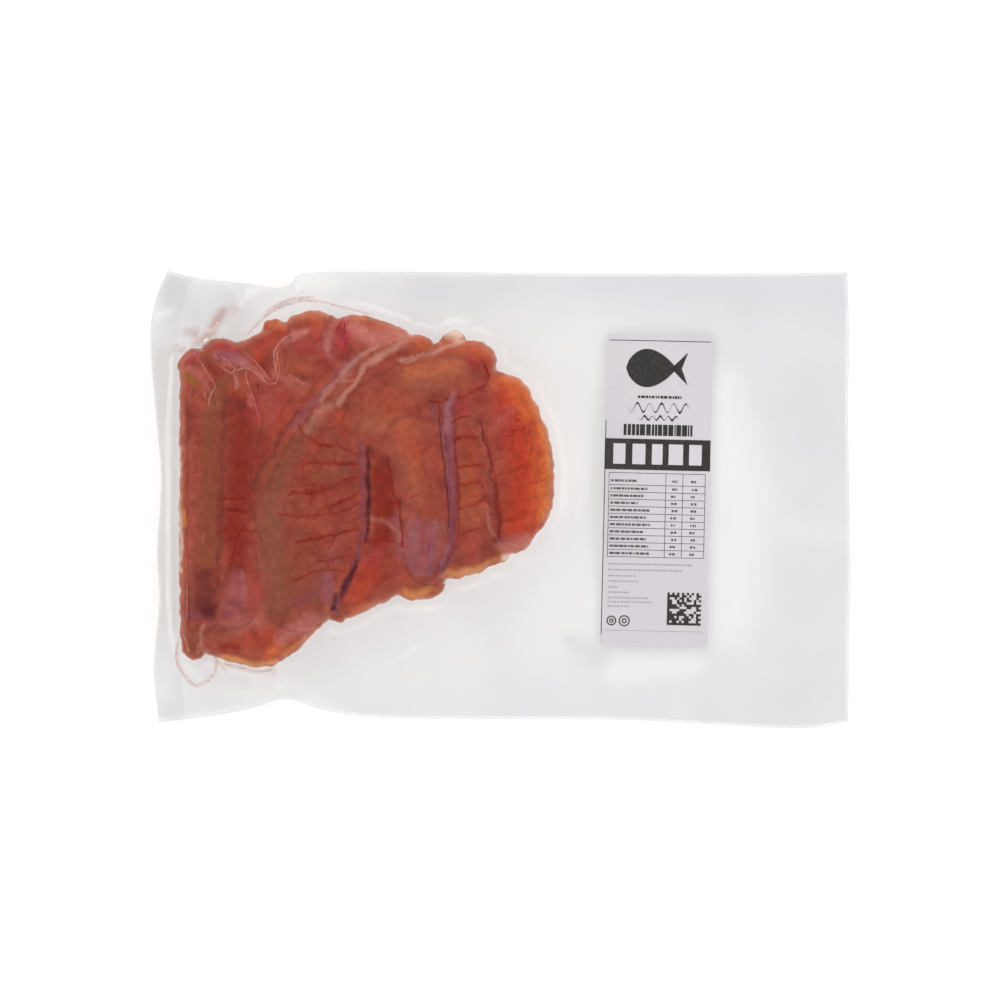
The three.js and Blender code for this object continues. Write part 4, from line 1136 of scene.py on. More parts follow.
def roe_material(settings):
    """Moist translucent roe, with its bands, stains and fine net of vessels, and painted shade, glow and
    highlights.
    """
    material, tree, surface = new_material("roe_under_membrane")
    edge = shared("Uneven edge", uneven_edge_group)
    drift = ranged(tree, noise_of(tree, 110.0, 4.0, 0.65, 0.4), 0.32, 0.68)
    colour = mixed(tree, drift, opaque(settings.flesh), opaque(settings.flesh_light))
    for name in [paint for paint in PAINTS if paint != "cream_and_highlight"]:
        cover = placed(tree, edge, Mask=masked(tree, name), Scale=380.0, Amount=0.4)
        colour = mixed(tree, cover, colour, opaque(getattr(settings, name)))
    # Painted glow: the thin outer rim is made lighter and more orange, as if light shone through it.
    rim = maths(tree, "MULTIPLY", masked(tree, "rim"), settings.rim_glow)
    colour = mixed(tree, rim, colour, opaque(settings.rim))
    # Painted highlight: the very edge is made pale in the cream colour.
    edge_highlight = maths(tree, "MULTIPLY", masked(tree, "edge"), settings.edge_highlight)
    edge_highlight = maths(tree, "MAXIMUM", edge_highlight, masked(tree, "cream_and_highlight"))
    colour = mixed(tree, edge_highlight, colour, opaque(settings.cream_and_highlight))
    blood = maths(tree, "MULTIPLY", masked(tree, "blood"), settings.blood_strength)
    colour = mixed(tree, blood, colour, opaque(settings.vein))
    # Painted shade: the colour darkens where two sacs meet.
    crease_shade = placed(tree, edge, Mask=masked(tree, "crease_shade"), Scale=500.0, Amount=0.6)
    crease_shade = maths(tree, "MULTIPLY", crease_shade, settings.crease_shade_strength)
    colour = mixed(tree, crease_shade, colour, opaque(settings.crease_shade))
    netting = shared("Fine netting", netting_group)
    fine = placed(tree, netting, Scale=230.0, Width=0.09)
    finer = placed(tree, netting, Scale=460.0, Width=0.12)
    lines = maths(tree, "MAXIMUM", fine, maths(tree, "MULTIPLY", finer, 0.6))
    lines = maths(tree, "MULTIPLY", lines, masked(tree, "netting"))
    lines = maths(tree, "MULTIPLY", lines, settings.netting_strength)
    colour = mixed(tree, lines, colour, opaque(settings.vein))
    mottle = ranged(tree, noise_of(tree, 260.0, 3.0, 0.6), 0.3, 0.7, 0.88, 1.1)
    speckle = ranged(tree, noise_of(tree, 1700.0, 1.0), 0.3, 0.7, 0.96, 1.03)
    speckle = maths(tree, "MULTIPLY", speckle, mottle)
    grained = add_node(tree, "ShaderNodeVectorMath", operation="SCALE")
    tree.links.new(colour, grained.inputs[0])
    tree.links.new(speckle, grained.inputs["Scale"])
    feed(tree, surface["Base Color"], grained.outputs[0])
    feed(tree, surface["Roughness"], ranged(tree, noise_of(tree, 240.0), 0.3, 0.7, 0.34, 0.55))
    relief = shared("Fine relief", relief_group)
    feed(tree, surface["Normal"], placed(tree, relief, Scale=700.0, Depth=0.00012, Detail=4.0))
    surface["Subsurface Weight"].default_value = settings.translucency
    surface["Subsurface Radius"].default_value = (1.0, 0.35, 0.2)
    surface["Subsurface Scale"].default_value = 0.003
    surface["Specular IOR Level"].default_value = 0.07
    return material


def soft_material(name, colour, other, opacity, patchy=0.4):
    """Vessels, lines of drip and the pleats' painted glints, which fade out at their sides."""
    material, tree, surface = new_material(name)
    drift = ranged(tree, noise_of(tree, 300.0, 3.0), 0.35, 0.65)
    feed(tree, surface["Base Color"], mixed(tree, drift, opaque(colour), opaque(other)))
    patch = ranged(tree, noise_of(tree, 420.0, 2.0), 0.35, 0.65, opacity * (1 - patchy), opacity)
    feed(tree, surface["Alpha"], maths(tree, "MULTIPLY", ranged(tree, masked(tree, "soft"), 0.0, 1.0), patch))
    feed(tree, surface["Roughness"], ranged(tree, drift, 0.0, 1.0, 0.5, 0.6))
    surface["Specular IOR Level"].default_value = 0.05
    return material


def bubble_material(settings):
    """Bubbles: two close pale tones under a moist shine; the white is partly a painted glint."""
    material, tree, surface = new_material("bubble")
    drift = ranged(tree, noise_of(tree, 500.0, 3.0), 0.35, 0.65)
    tone = mixed(tree, drift, opaque(settings.drip_light), opaque(BUBBLE_GLINT_WHITE))
    feed(tree, surface["Base Color"], tone)
    feed(tree, surface["Roughness"], ranged(tree, drift, 0.0, 1.0, 0.25, 0.38))
    relief = shared("Fine relief", relief_group)
    feed(tree, surface["Normal"], placed(tree, relief, Scale=1200.0, Depth=0.00005, Detail=2.0))
    surface["Specular IOR Level"].default_value = 0.25
    surface["Alpha"].default_value = 0.9
    return material


def film_material(settings):
    """Clear film: a thin haze and a gloss, both stronger on the loose skirt than against the roe."""
    material, tree, surface = new_material("clear_film")
    contact = masked(tree, "contact")
    edge = shared("Uneven edge", uneven_edge_group)
    stain = placed(tree, edge, Mask=masked(tree, "stain"), Scale=420.0, Amount=0.3)
    cloud = ranged(tree, noise_of(tree, 22.0, 3.0, 0.6), 0.3, 0.7, 0.95, 1.05)
    colour = mixed(tree, masked(tree, "warm"), opaque(settings.film_tint), opaque(settings.film_warm))
    colour = mixed(tree, masked(tree, "cool"), colour, opaque(settings.film_cool))
    colour = mixed(tree, stain, colour, opaque(settings.drip_stain))
    pool = masked(tree, "pool")
    colour = mixed(tree, pool, colour, opaque(settings.drip_pool))
    feed(tree, surface["Base Color"], colour)
    haze = ranged(tree, contact, 0.0, 1.0, settings.skirt_haze, settings.contact_haze)
    haze = maths(tree, "MULTIPLY", haze, cloud)
    haze = maths(tree, "MULTIPLY", haze, masked(tree, "haze"))
    haze = maths(tree, "ADD", haze, maths(tree, "MULTIPLY", stain, settings.stain_strength))
    haze = maths(tree, "ADD", haze, maths(tree, "MULTIPLY", pool, settings.pool_strength))
    feed(tree, surface["Alpha"], haze)
    gloss = ranged(tree, contact, 0.0, 1.0, settings.skirt_gloss, settings.contact_gloss)
    dry = ranged(tree, maths(tree, "MAXIMUM", stain, pool), 0.0, 0.06, 1.0, 0.0)
    feed(tree, surface["Metallic"], maths(tree, "MULTIPLY", gloss, dry))
    feed(tree, surface["Roughness"], ranged(tree, noise_of(tree, 90.0), 0.3, 0.7, 0.13, 0.24))
    relief = shared("Fine relief", relief_group)
    feed(tree, surface["Normal"], placed(tree, relief, Scale=60.0, Depth=0.0006, Detail=1.0))
    return material


def paper_material(settings):
    material, tree, surface = new_material("label_paper")
    fibre = ranged(tree, noise_of(tree, 900.0, 4.0, 0.7), 0.3, 0.7)
    split = add_node(tree, "ShaderNodeSeparateXYZ")
    tree.links.new(add_node(tree, "ShaderNodeTexCoord").outputs["Object"], split.inputs[0])
    lower = ranged(tree, split.outputs["Y"], -0.06, 0.02, 1.0, 0.0)
    sheet = mixed(tree, lower, opaque(settings.paper), opaque(settings.paper_low))
    feed(tree, surface["Base Color"], mixed(tree, fibre, sheet, opaque(settings.paper_shade)))
    feed(tree, surface["Roughness"], ranged(tree, fibre, 0.0, 1.0, 0.5, 0.62))
    relief = shared("Fine relief", relief_group)
    feed(tree, surface["Normal"], placed(tree, relief, Scale=1500.0, Depth=0.00003, Detail=3.0))
    return material


def ink_material(name, colour, settings):
    material, tree, surface = new_material(name)
    worn = ranged(tree, noise_of(tree, 700.0, 3.0), 0.5, 0.8, 0.0, 0.07)
    feed(tree, surface["Base Color"], mixed(tree, worn, opaque(colour), opaque(settings.paper_shade)))
    feed(tree, surface["Roughness"], ranged(tree, worn, 0.0, 0.07, 0.5, 0.65))
    return material


# Settings


def colour_setting(name, description, code):
    return FloatVectorProperty(
        name=name, description=description, default=linear(code), size=3, min=0.0, max=1.0, subtype="COLOR"
    )


def length_setting(name, description, millimetres):
    return FloatProperty(
        name=name, description=description, default=millimetres * MM, min=0.0, unit="LENGTH", precision=5
    )


def share_setting(name, description, value):
    return FloatProperty(
        name=name, description=description, default=value, min=0.0, max=1.0, subtype="FACTOR"
    )


class RoeSettings(bpy.types.PropertyGroup):
    """Sizes and colours of the roe."""

    seed: IntProperty(name="Seed", description="Which way the fine vessels run", default=5, min=0)
    fine_vessels: IntProperty(
        name="Fine vessels", description="Number of free fine vessels", default=70, min=0
    )
    paint_wander: length_setting("Wander", "How far the edges of the coloured parts wander", 1.6)
    # painted glow on the roe's thin rim
    rim_glow: share_setting("Rim glow", "How much lighter the roe's thin rim is", 0.35)
    # painted highlight: how pale the very edge is made
    edge_highlight: share_setting("Edge light", "How pale the very edge is", 0.5)
    # painted shade: how dark the colour is made where two sacs meet
    crease_shade_strength: share_setting("Crease strength", "How dark the sacs' creases are", 0.25)
    mesh_step: length_setting("Mesh step", "Distance between the roe's vertices", 0.8)
    rim_bumps: length_setting("Rim bumps", "How deep the small dents of the roe's outline are", 1.0)
    below_film: length_setting("Below film", "How far the sacs' tops lie below their film", 0.5)
    lump_height: length_setting("Lump height", "How deep the soft dents of the sacs are", 0.5)
    groove_depth: length_setting("Groove depth", "How deep the dark creases are pressed in", 0.7)
    tissue_rise: length_setting("Tissue rise", "How far pale tissue stands up", 0.35)
    translucency: share_setting("Translucency", "How much light passes through the roe's skin", 0.35)
    netting_strength: share_setting("Netting", "How strongly the fine net of vessels shows", 0.6)
    blood_strength: share_setting("Blood", "How red the roe is beside the branch vessels", 0.3)
    flesh: colour_setting("Flesh", "Darker tone of the roe", "#8a3c32")
    flesh_light: colour_setting("Flesh light", "Lighter tone of the roe", "#a24f3e")
    deep: colour_setting("Deep red", "Sacs full of blood", "#832e23")
    sand: colour_setting("Sand", "Fat tan sacs", "#a65d45")
    # dark blood colour, also painted shade along some creases between sacs
    maroon_and_crease_shade: colour_setting("Maroon", "Sacs with dark blood under them", "#71342d")
    peach: colour_setting("Peach", "Lighter orange parts near the rim", "#bd6745")
    orange: colour_setting("Orange red", "Clear red-orange sacs", "#b33f2a")
    ember: colour_setting("Ember", "Clear orange parts that light shines through", "#d36937")
    tan: colour_setting("Tan", "Dull bands where the membrane is thick", "#884935")
    lilac: colour_setting("Lilac", "Thin pinkish membrane", "#95565e")
    rose: colour_setting("Rose", "Blood-pink patches", "#aa3c42")
    # the roe's pink, partly also painted glare where wrinkled film lies over it
    pink: colour_setting("Pink", "Pale pink parts under wrinkled film", "#c1736b")
    violet: colour_setting("Violet", "Membrane beside the main vessels", "#7f424b")
    mauve: colour_setting("Mauve", "Light strands of the main vessels", "#a8666c")
    pale: colour_setting("Pale", "Pale connective tissue", "#bb8272")
    olive: colour_setting("Olive", "Stained spots", "#8c641f")
    # the cream bits' own colour, also used for the painted edge highlight
    cream_and_highlight: colour_setting("Cream", "Clear bits at the edge", "#edd4c0")
    amber: colour_setting("Amber", "Thin rims that light shines through", "#d89051")
    shadow: colour_setting("Shadow", "Dark creases", "#43131a")
    # colour of the painted shade where two sacs meet
    crease_shade: colour_setting("Crease", "Where two sacs meet", "#5e2a2c")
    # colour of the painted rim glow
    rim: colour_setting("Rim", "Thin outer rim", "#cd7754")
    vein: colour_setting("Vein", "Branch vessels", "#821e16")
    vein_light: colour_setting("Light vein", "Fine vessels", "#8f2b1e")
    vein_full: colour_setting("Full vein", "Stretches full of dark blood", "#6b130e")
    # dark vessel colour, also painted shade on the main vessels' lower sides
    vein_dark_and_shade: colour_setting("Dark vein", "Lower side of the main vessels", "#4a1b22")


class FilmSettings(bpy.types.PropertyGroup):
    """Sizes and colours of the film and the drip."""

    drip_bulge: length_setting("Drip bulge", "How far the film rises over the drip", 0.12)
    ripple_height: length_setting("Ripple height", "Height of the skirt's soft ripples", 0.22)
    skirt_haze: share_setting("Skirt haze", "Opacity of the loose film", 0.14)
    contact_haze: share_setting("Contact haze", "Opacity of the film against the roe", 0.005)
    skirt_gloss: share_setting("Skirt gloss", "Share of the loose film's look that is gloss", 0.35)
    contact_gloss: share_setting("Contact gloss", "The same against the roe", 0.6)
    stain_strength: share_setting("Stain", "Opacity of the drip's stain", 0.22)
    # opacity of the pleats' painted glints
    pleat_glint_opacity: share_setting("Pleat opacity", "Opacity of the sharp pleats", 0.38)
    pool_strength: share_setting("Pool strength", "Opacity of thick drip", 0.9)
    drip_opacity: share_setting("Drip opacity", "Opacity of the lines of drip", 0.5)
    film_tint: colour_setting("Film", "The film's own colour", "#b0b0b2")
    film_warm: colour_setting("Warm film", "Film beside the roe and along the seal", "#b0aa9c")
    film_cool: colour_setting("Cool film", "Film at the far end", "#a8a8ba")
    # colours of the pleats' painted glints
    pleat_glint_tint: colour_setting("Pleats", "Sharp folds of the film", "#cf8478")
    pale_fold_glint: colour_setting("Pale pleats", "The lightest folds", "#dba094")
    drip_pool: colour_setting("Thick drip", "Drip that is thick enough to look like flesh", "#bf7a68")
    drip_stain: colour_setting("Stain colour", "Film wet with drip", "#bd7d6c")
    drip: colour_setting("Drip", "Lines of drip between the webs", "#c9836f")
    drip_light: colour_setting("Light drip", "Thinner drip", "#dfae9c")


class LabelSettings(bpy.types.PropertyGroup):
    """Colours of the label."""

    seed: IntProperty(name="Seed", description="Which made-up pattern the print has", default=11, min=0)
    paper: colour_setting("Paper", "The label's paper", "#d2cdd2")
    paper_low: colour_setting("Paper below", "The paper's lower part", "#cdc8ce")
    paper_shade: colour_setting("Paper shade", "The paper's darker fibres", "#cdc8ce")
    ink: colour_setting("Ink", "Heavy print", "#2e2b29")
    fine_ink: colour_setting("Fine ink", "Thin print", "#5d585b")
    pale_ink: colour_setting("Pale ink", "The finest print", "#a39da4")


class StageSettings(bpy.types.PropertyGroup):
    """Camera and light."""

    distance: FloatProperty(name="Distance", description="Camera height", default=4.0, min=0.5, unit="LENGTH")
    width: FloatProperty(
        name="Width", description="Width that the picture takes in", default=0.43, min=0.1, unit="LENGTH"
    )
    soft_light: FloatProperty(
        name="Soft light", description="Power of each soft light", default=8.8, min=0.0, unit="POWER"
    )
    key_light: FloatProperty(
        name="Key light", description="Power of the small light", default=1.2, min=0.0, unit="POWER"
    )
    surround: FloatProperty(
        name="Surround", description="Strength of the plain surround", default=0.06, min=0.0
    )
    floor_glow: FloatProperty(name="Floor glow", description="The floor's own light", default=0.52, min=0.0)


# The roe


def sac_places(sac, unit):
    """Positions on a sac for the unit sphere's vertices, whose axis is taken along the sac's spine."""
    spine, radii = spine_of(sac, 60)
    lengths = np.append(0, np.cumsum(np.linalg.norm(np.diff(spine, axis=0), axis=1)))
    starts, ends = radii[0] * math.pi / 2, radii[-1] * math.pi / 2
    way = np.arccos(np.clip(unit[:, 2], -1, 1)) / math.pi * (starts + lengths[-1] + ends)
    first_cap = np.clip(way / starts, 0, 1) * math.pi / 2
    last_cap = np.clip((way - starts - lengths[-1]) / ends, 0, 1) * math.pi / 2
    along = np.clip(way - starts, 0, lengths[-1])
    middle = np.column_stack([np.interp(along, lengths, spine[:, k]) for k in (0, 1)])
    ahead = np.gradient(spine, axis=0)
    ahead /= np.linalg.norm(ahead, axis=1)[:, None]
    ahead = np.column_stack([np.interp(along, lengths, ahead[:, k]) for k in (0, 1)])
    beside = np.column_stack([-ahead[:, 1], ahead[:, 0]])
    radius = np.interp(along, lengths, radii)
    half_width = radius * np.sin(first_cap) * np.cos(last_cap)
    beyond = radius * (np.sin(last_cap) - np.cos(first_cap))
    turn = np.arctan2(unit[:, 1], unit[:, 0])
    across = np.sign(np.cos(turn)) * np.abs(np.cos(turn)) ** (2 / ROUNDNESS)
    places = middle + ahead * beyond[:, None] + beside * (half_width * across)[:, None]
    outside, share = place_by(spine, radii, places)
    top = SEAM_HEIGHT + (sac[2] - SEAM_HEIGHT) * dome(share)
    return to_frame(places, np.where(np.sin(turn) >= -1e-6, top, foot_height(outside)))


FOOT_GAP = 0.3  # the roe's lowest parts above the table


def foot_height(outside):
    """The height of the roe's rounded foot above the table, just inside the lower film."""
    inwards = 1 - np.clip(-outside / FOOT_ROUNDING, 0, 1)
    return FOOT_GAP + (SEAM_HEIGHT - FOOT_GAP) * (1 - np.sqrt(1 - inwards**2))


def sac_shapes():
    """The sacs and the filling as closed rounded bodies in one mesh, not yet joined."""
    whole = bmesh.new()
    for name, sac in [*SACS.items(), *FILLING.items()]:
        one = bmesh.new()
        bmesh.ops.create_uvsphere(one, u_segments=48, v_segments=64, radius=1)
        mesh = mesh_from(one, name)
        give_places(mesh, sac_places(sac, mesh_places(mesh)))
        whole.from_mesh(mesh)
        bpy.data.meshes.remove(mesh)
    bmesh.ops.recalc_face_normals(whole, faces=whole.faces)
    return mesh_from(whole, "sacs")


def grown_together(name, shapes, settings):
    """One closed skin round overlapping bodies, softened."""
    holder = bpy.data.objects.new(name, shapes)
    bpy.context.scene.collection.objects.link(holder)
    remesh = holder.modifiers.new("Remesh", "REMESH")
    remesh.mode = "VOXEL"
    remesh.voxel_size = settings.mesh_step
    soften = holder.modifiers.new("Smooth", "SMOOTH")
    soften.iterations = 6
    shaped = holder.evaluated_get(bpy.context.evaluated_depsgraph_get())
    mesh = bpy.data.meshes.new_from_object(shaped)
    mesh.name = name
    bpy.data.objects.remove(holder)
    bpy.data.meshes.remove(shapes)
    return mesh


def creases(places):
    """1 where two sacs meet, and 0 away from there."""
    tops = np.zeros((2, len(places)))
    for sac in SACS.values():
        _, share = place_by(*spine_of(sac, SPINE_STEPS), places)
        tops = np.sort(np.vstack([tops, (sac[2] - SEAM_HEIGHT) * dome(share)]), axis=0)[-2:]
    return (1 - smooth(tops[1] - tops[0], 0, 3)) * smooth(tops[0], 4, 10)


BLOOD_REACH = 2.6  # how much wider than its vessel the red beside it is


def roe_mesh(settings):
    """The roe: sacs grown together under the taut film, with their dents and the masks that colour them."""
    mesh = grown_together("roe", sac_shapes(), settings)
    grown = mesh_places(mesh) / MM
    places = grown[:, :2] - FRAME_SHIFT
    outside = np.full(len(places), np.inf)
    for sac in [*SACS.values(), *FILLING.values()]:
        outside = np.minimum(outside, place_by(*spine_of(sac, SPINE_STEPS), places)[0])
    moved = wandering(places, settings.paint_wander / MM)
    covers = {paint: painted(strokes, moved) for paint, strokes in PAINTS.items()}
    covers["amber"] = covers["amber"] * (1 - smooth(-outside, 1.5, 8))
    # where two sacs meet: painted shade in the roe's colour, and a shallow pressed groove
    crease_shade = creases(places)
    dents = 0.5 + 0.35 * ripples(places, 11, 1.3) + 0.4 * ripples(places, 4.2, 5.9)
    dents = settings.lump_height / MM * np.clip(dents, 0, 1)
    dents = dents + settings.groove_depth / MM * np.maximum(covers["shadow"], 0.5 * crease_shade)
    dents = dents - settings.tissue_rise / MM * covers["pale"]
    film = surface_of(["film"])
    pressed = heights_on(film, places) - settings.below_film / MM - np.maximum(dents, 0)
    heights = grown[:, 2]
    share = smooth(-outside, 0.5, 3.5)
    upward = np.array([vertex.normal.z for vertex in mesh.vertices]) > 0.3
    above = (heights > SEAM_HEIGHT + 2) | (upward & (outside < -3))
    target = np.where(above, pressed, foot_height(outside))
    heights = heights + share * (target - heights)
    outward = np.array([vertex.normal[:2] for vertex in mesh.vertices])
    bump = np.clip(0.5 + 0.6 * ripples(places, 4.6, 12.2) + 0.4 * ripples(places, 1.9, 14.6), 0, 1) - 0.7
    bump = settings.rim_bumps / MM * bump * (1 - smooth(-outside, 0, 3))
    give_places(mesh, to_frame(places - bump[:, None] * outward, heights))
    for paint, cover in covers.items():
        give_mask(mesh, paint, cover)
    give_mask(mesh, "netting", painted(NETTING, places))
    beside = [(1, [(x, y, BLOOD_REACH * r) for x, y, r in line]) for line in BRANCHES]
    give_mask(mesh, "blood", painted(beside, places))
    # mask of the painted shade where sacs meet
    give_mask(mesh, "crease_shade", crease_shade)
    # mask of the painted rim glow
    give_mask(mesh, "rim", 1 - smooth(-outside, 0, 3.6))
    # mask of the painted highlight on the very edge
    give_mask(mesh, "edge", 1 - smooth(-outside, -0.6, 1.1))
    return mesh


class POUCH_OT_roe(bpy.types.Operator):
    """Build the roe under the film"""

    bl_idname = "pouch.roe"
    bl_label = "Roe"

    def execute(self, context):
        settings = context.scene.pouch_roe
        piece(roe_mesh(settings), roe_material(settings))
        return {"FINISHED"}


VESSEL_WIDTH = (0.22, 1.05)  # added to a vessel's half width, and what it is multiplied by
VESSELS_FROM = 6  # vessels lie on the sacs' tops, at least this far above the seam
TWIG_SPACING = 11  # length of branch to one twig


class POUCH_OT_vessels(bpy.types.Operator):
    """Lay the blood vessels on the roe"""

    bl_idname = "pouch.vessels"
    bl_label = "Vessels"

    def execute(self, context):
        settings = context.scene.pouch_roe
        roe = surface_of(["roe"])
        draw = random.Random(settings.seed)
        # the dark lines are dark vessels and painted shade beside the main vessels
        dark = soft_material("dark_vessel_and_shade", settings.vein_dark_and_shade, settings.shadow, 0.6, 0.5)
        red = soft_material("red_vessel", settings.vein, settings.vein_light, 0.6, 0.5)
        full = soft_material("full_vessel", settings.vein_full, settings.vein, 0.65, 0.5)
        fine = soft_material("fine_vessel", settings.vein_light, settings.vein, 0.34, 0.7)
        branches = [uneven(stepped(points, 0.7), draw, 0.5, 0.3) for points in BRANCHES]
        thin = [*twigs(branches, draw), *capillaries(draw, settings.fine_vessels)]
        for line in [*branches, *thin]:
            line[:, 2] = VESSEL_WIDTH[0] + VESSEL_WIDTH[1] * line[:, 2]
        kinds = [
            ("red_lines", RED_LINES, red, 0.1),
            ("dark_lines", DARK_LINES, dark, 0.12),
            ("branch_vessels", branches, red, 0.08),
            ("full_vessels", KNOTS, full, 0.1),
            ("faint_vessels", FAINT_BRANCHES, fine, 0.07),
            ("fine_vessels", thin, fine, 0.06),
        ]
        for name, lines, material, rise in kinds:
            if name not in ("branch_vessels", "fine_vessels"):
                lines = [uneven(stepped(points, 0.8), draw, 0.4, 0.3) for points in lines]
            lowest = SEAM_HEIGHT + VESSELS_FROM
            inside = [line for line in lines if heights_on(roe, line[:, :2], 0).min() > lowest]
            piece(soft_lines(name, inside, roe, rise), material).visible_shadow = False
        return {"FINISHED"}


def twigs(branches, draw):
    """Fine vessels that leave the branches."""
    found = []
    for line in branches:
        length = np.linalg.norm(np.diff(line[:, :2], axis=0), axis=1).sum()
        for _ in range(round(length / TWIG_SPACING)):
            k = draw.randrange(1, len(line) - 1)
            dx, dy = line[k + 1, :2] - line[k - 1, :2]
            angle = math.atan2(dy, dx) + draw.choice((-1, 1)) * draw.uniform(0.5, 1.2)
            found.append(walk(draw, line[k, :2], angle, draw.uniform(2, 5.5), 0.5 * line[k, 2]))
    return found


def capillaries(draw, count):
    """Fine vessels that cross the netted parts of the roe, mostly straight across them."""
    found = []
    sizes = [strength * len(points) * max(width for _, _, width in points) for strength, points in NETTING]
    for strength, points in draw.choices(NETTING, sizes, k=count):
        table = np.array(points, float)
        share = draw.uniform(0.02, 0.98)
        here, ahead = curve_at(table, [share, share + 0.02])
        along = math.atan2(ahead[1] - here[1], ahead[0] - here[0])
        across = along + math.pi / 2 * draw.choice((-1, 1))
        off = draw.uniform(-1, 1) * here[2]
        place = (here[0] + off * math.cos(along + math.pi / 2), here[1] + off * math.sin(along + math.pi / 2))
        angle = across + draw.gauss(0, 0.25)
        found.append(walk(draw, place, angle, draw.uniform(3, 10), draw.uniform(0.02, 0.16)))
    return found


# The film, with its drip and pleats


def film_places():
    """The film's grid of places: rows run across the pouch, columns along it."""
    along = np.interp(np.linspace(0, 1, FILM_CELLS[0] + 1), COLUMN_SPACING[1], COLUMN_SPACING[0])
    across = np.interp(np.linspace(0, 1, FILM_CELLS[1] + 1), ROW_SPACING[1], ROW_SPACING[0])
    bottom, top = evenly_along(BOTTOM_EDGE, along), evenly_along(TOP_EDGE, along)
    left, right = evenly_along(LEFT_EDGE, across), evenly_along(RIGHT_EDGE, across)
    u, v = along[None, :, None], across[:, None, None]
    up_down = (1 - v) * bottom[None] + v * top[None]
    sideways = (1 - u) * left[:, None] + u * right[:, None]
    low = (1 - u) * np.array(BOTTOM_EDGE[0]) + u * np.array(BOTTOM_EDGE[-1])
    high = (1 - u) * np.array(TOP_EDGE[0]) + u * np.array(TOP_EDGE[-1])
    return up_down + sideways - (1 - v) * low - v * high


# How much clearer the loose film is than elsewhere, and how much milkier, as strokes; some paint light and
# shadow round the label
CLEARER = [
    (0.5, [(20, 60, 24), (34, 10, 20), (20, -40, 26)]),
    (0.35, [(-60, -70, 16), (-20, -60, 18)]),
    # these two strokes make the film clearer beside the label, which also paints light over the label's cast
    # shadow
    (0.5, [(95, 45, 10), (101, 0, 13), (99, -50, 12)]),
    (0.4, [(36, 60, 7), (37, -45, 7)]),
    (0.4, [(50, -73, 6), (80, -70, 6)]),
    (0.2, [(120, -11, 4), (148, -16, 5)]),
    (0.5, [(-84, 94.5, 4), (-72, 92, 4)]),
]
MILKIER = [
    (0.3, [(-30, 92, 12), (60, 92, 11), (145, 88, 16)]),
    (0.25, [(130, 40, 20), (138, 10, 14)]),
    (0.2, [(140, -40, 16), (130, -84, 16), (90, -92, 8)]),
    # painted shadow at the label's lower left corner, as greyer film
    (0.55, [(31, -61, 3.5), (38, -66, 5), (43, -68, 4)]),
    (0.4, [(-142, 88, 6), (-126, 76, 5), (-112, 92, 5)]),
    (0.5, [(-144, 60, 6), (-143, 10, 6), (-142, -50, 6)]),
]
WARM = [
    (0.6, [(0, 66, 12), (31, 40, 14), (36, 0, 12), (24, -40, 14), (-20, -56, 14), (-60, -68, 12)]),
    (0.7, [(-144, 60, 5), (-143, 10, 5), (-142, -50, 5)]),
]
COOL = [
    (0.9, [(-30, 92, 10), (60, 92, 9), (145, 88, 16)]),
    (0.7, [(130, 60, 18), (138, 30, 12)]),
    (0.6, [(20, -88, 14), (60, -90, 10)]),
]
# The haze's share on plain film, and how much each of the others takes away or adds
HAZE_BASE = 1.1
HAZE_CLEARER = 0.6
HAZE_MILKIER = 0.6
HAZE_NEAR_ROE = 0.3
HAZE_SEAL = 0.35


def film_haze(places, outside):
    """The skirt's haze as a share: clearer beside the roe, milkier at the seal and the far end."""
    clear = painted(CLEARER, places)
    milky = painted(MILKIER, places)
    left = np.interp(places[:, 1], [y for _, y in LEFT_EDGE], [x for x, _ in LEFT_EDGE])
    seal = 1 - smooth(places[:, 0] - left, SEAL_WIDTH - 1.5, SEAL_WIDTH)
    near = 1 - smooth(outside, 2, 30)
    haze = HAZE_BASE - HAZE_CLEARER * clear + HAZE_MILKIER * milky
    return haze - HAZE_NEAR_ROE * near + HAZE_SEAL * seal


def film_mesh(settings):
    """The film as one closed envelope: an upper and a lower web that meet at the rim."""
    bm = bmesh.new()
    bmesh.ops.create_grid(bm, x_segments=FILM_CELLS[0], y_segments=FILM_CELLS[1], size=1)
    bmesh.ops.solidify(bm, geom=bm.faces[:], thickness=0.1)
    mesh = mesh_from(bm, "film")
    flat = mesh_places(mesh)
    spread = (flat[:, :2] - flat[:, :2].min(0)) / np.ptp(flat[:, :2], axis=0)
    column, row = np.round(spread * FILM_CELLS).astype(int).T
    above = flat[:, 2] > flat[:, 2].mean()
    grid = film_places()
    lower, upper, outside = film_surfaces(grid, settings)
    places, outside = grid[row, column], outside[row, column]
    give_places(mesh, to_frame(places, np.where(above, upper[row, column], lower[row, column])))
    give_mask(mesh, "contact", 1 - smooth(outside, -2.2, 0.2))
    give_mask(mesh, "stain", painted(DRIP_STAINS, places) * above)
    give_mask(mesh, "pool", painted(DRIP_POOLS, places) * above)
    give_mask(mesh, "haze", film_haze(places, outside))
    give_mask(mesh, "warm", painted(WARM, places))
    give_mask(mesh, "cool", painted(COOL, places))
    return turned_outwards(mesh)


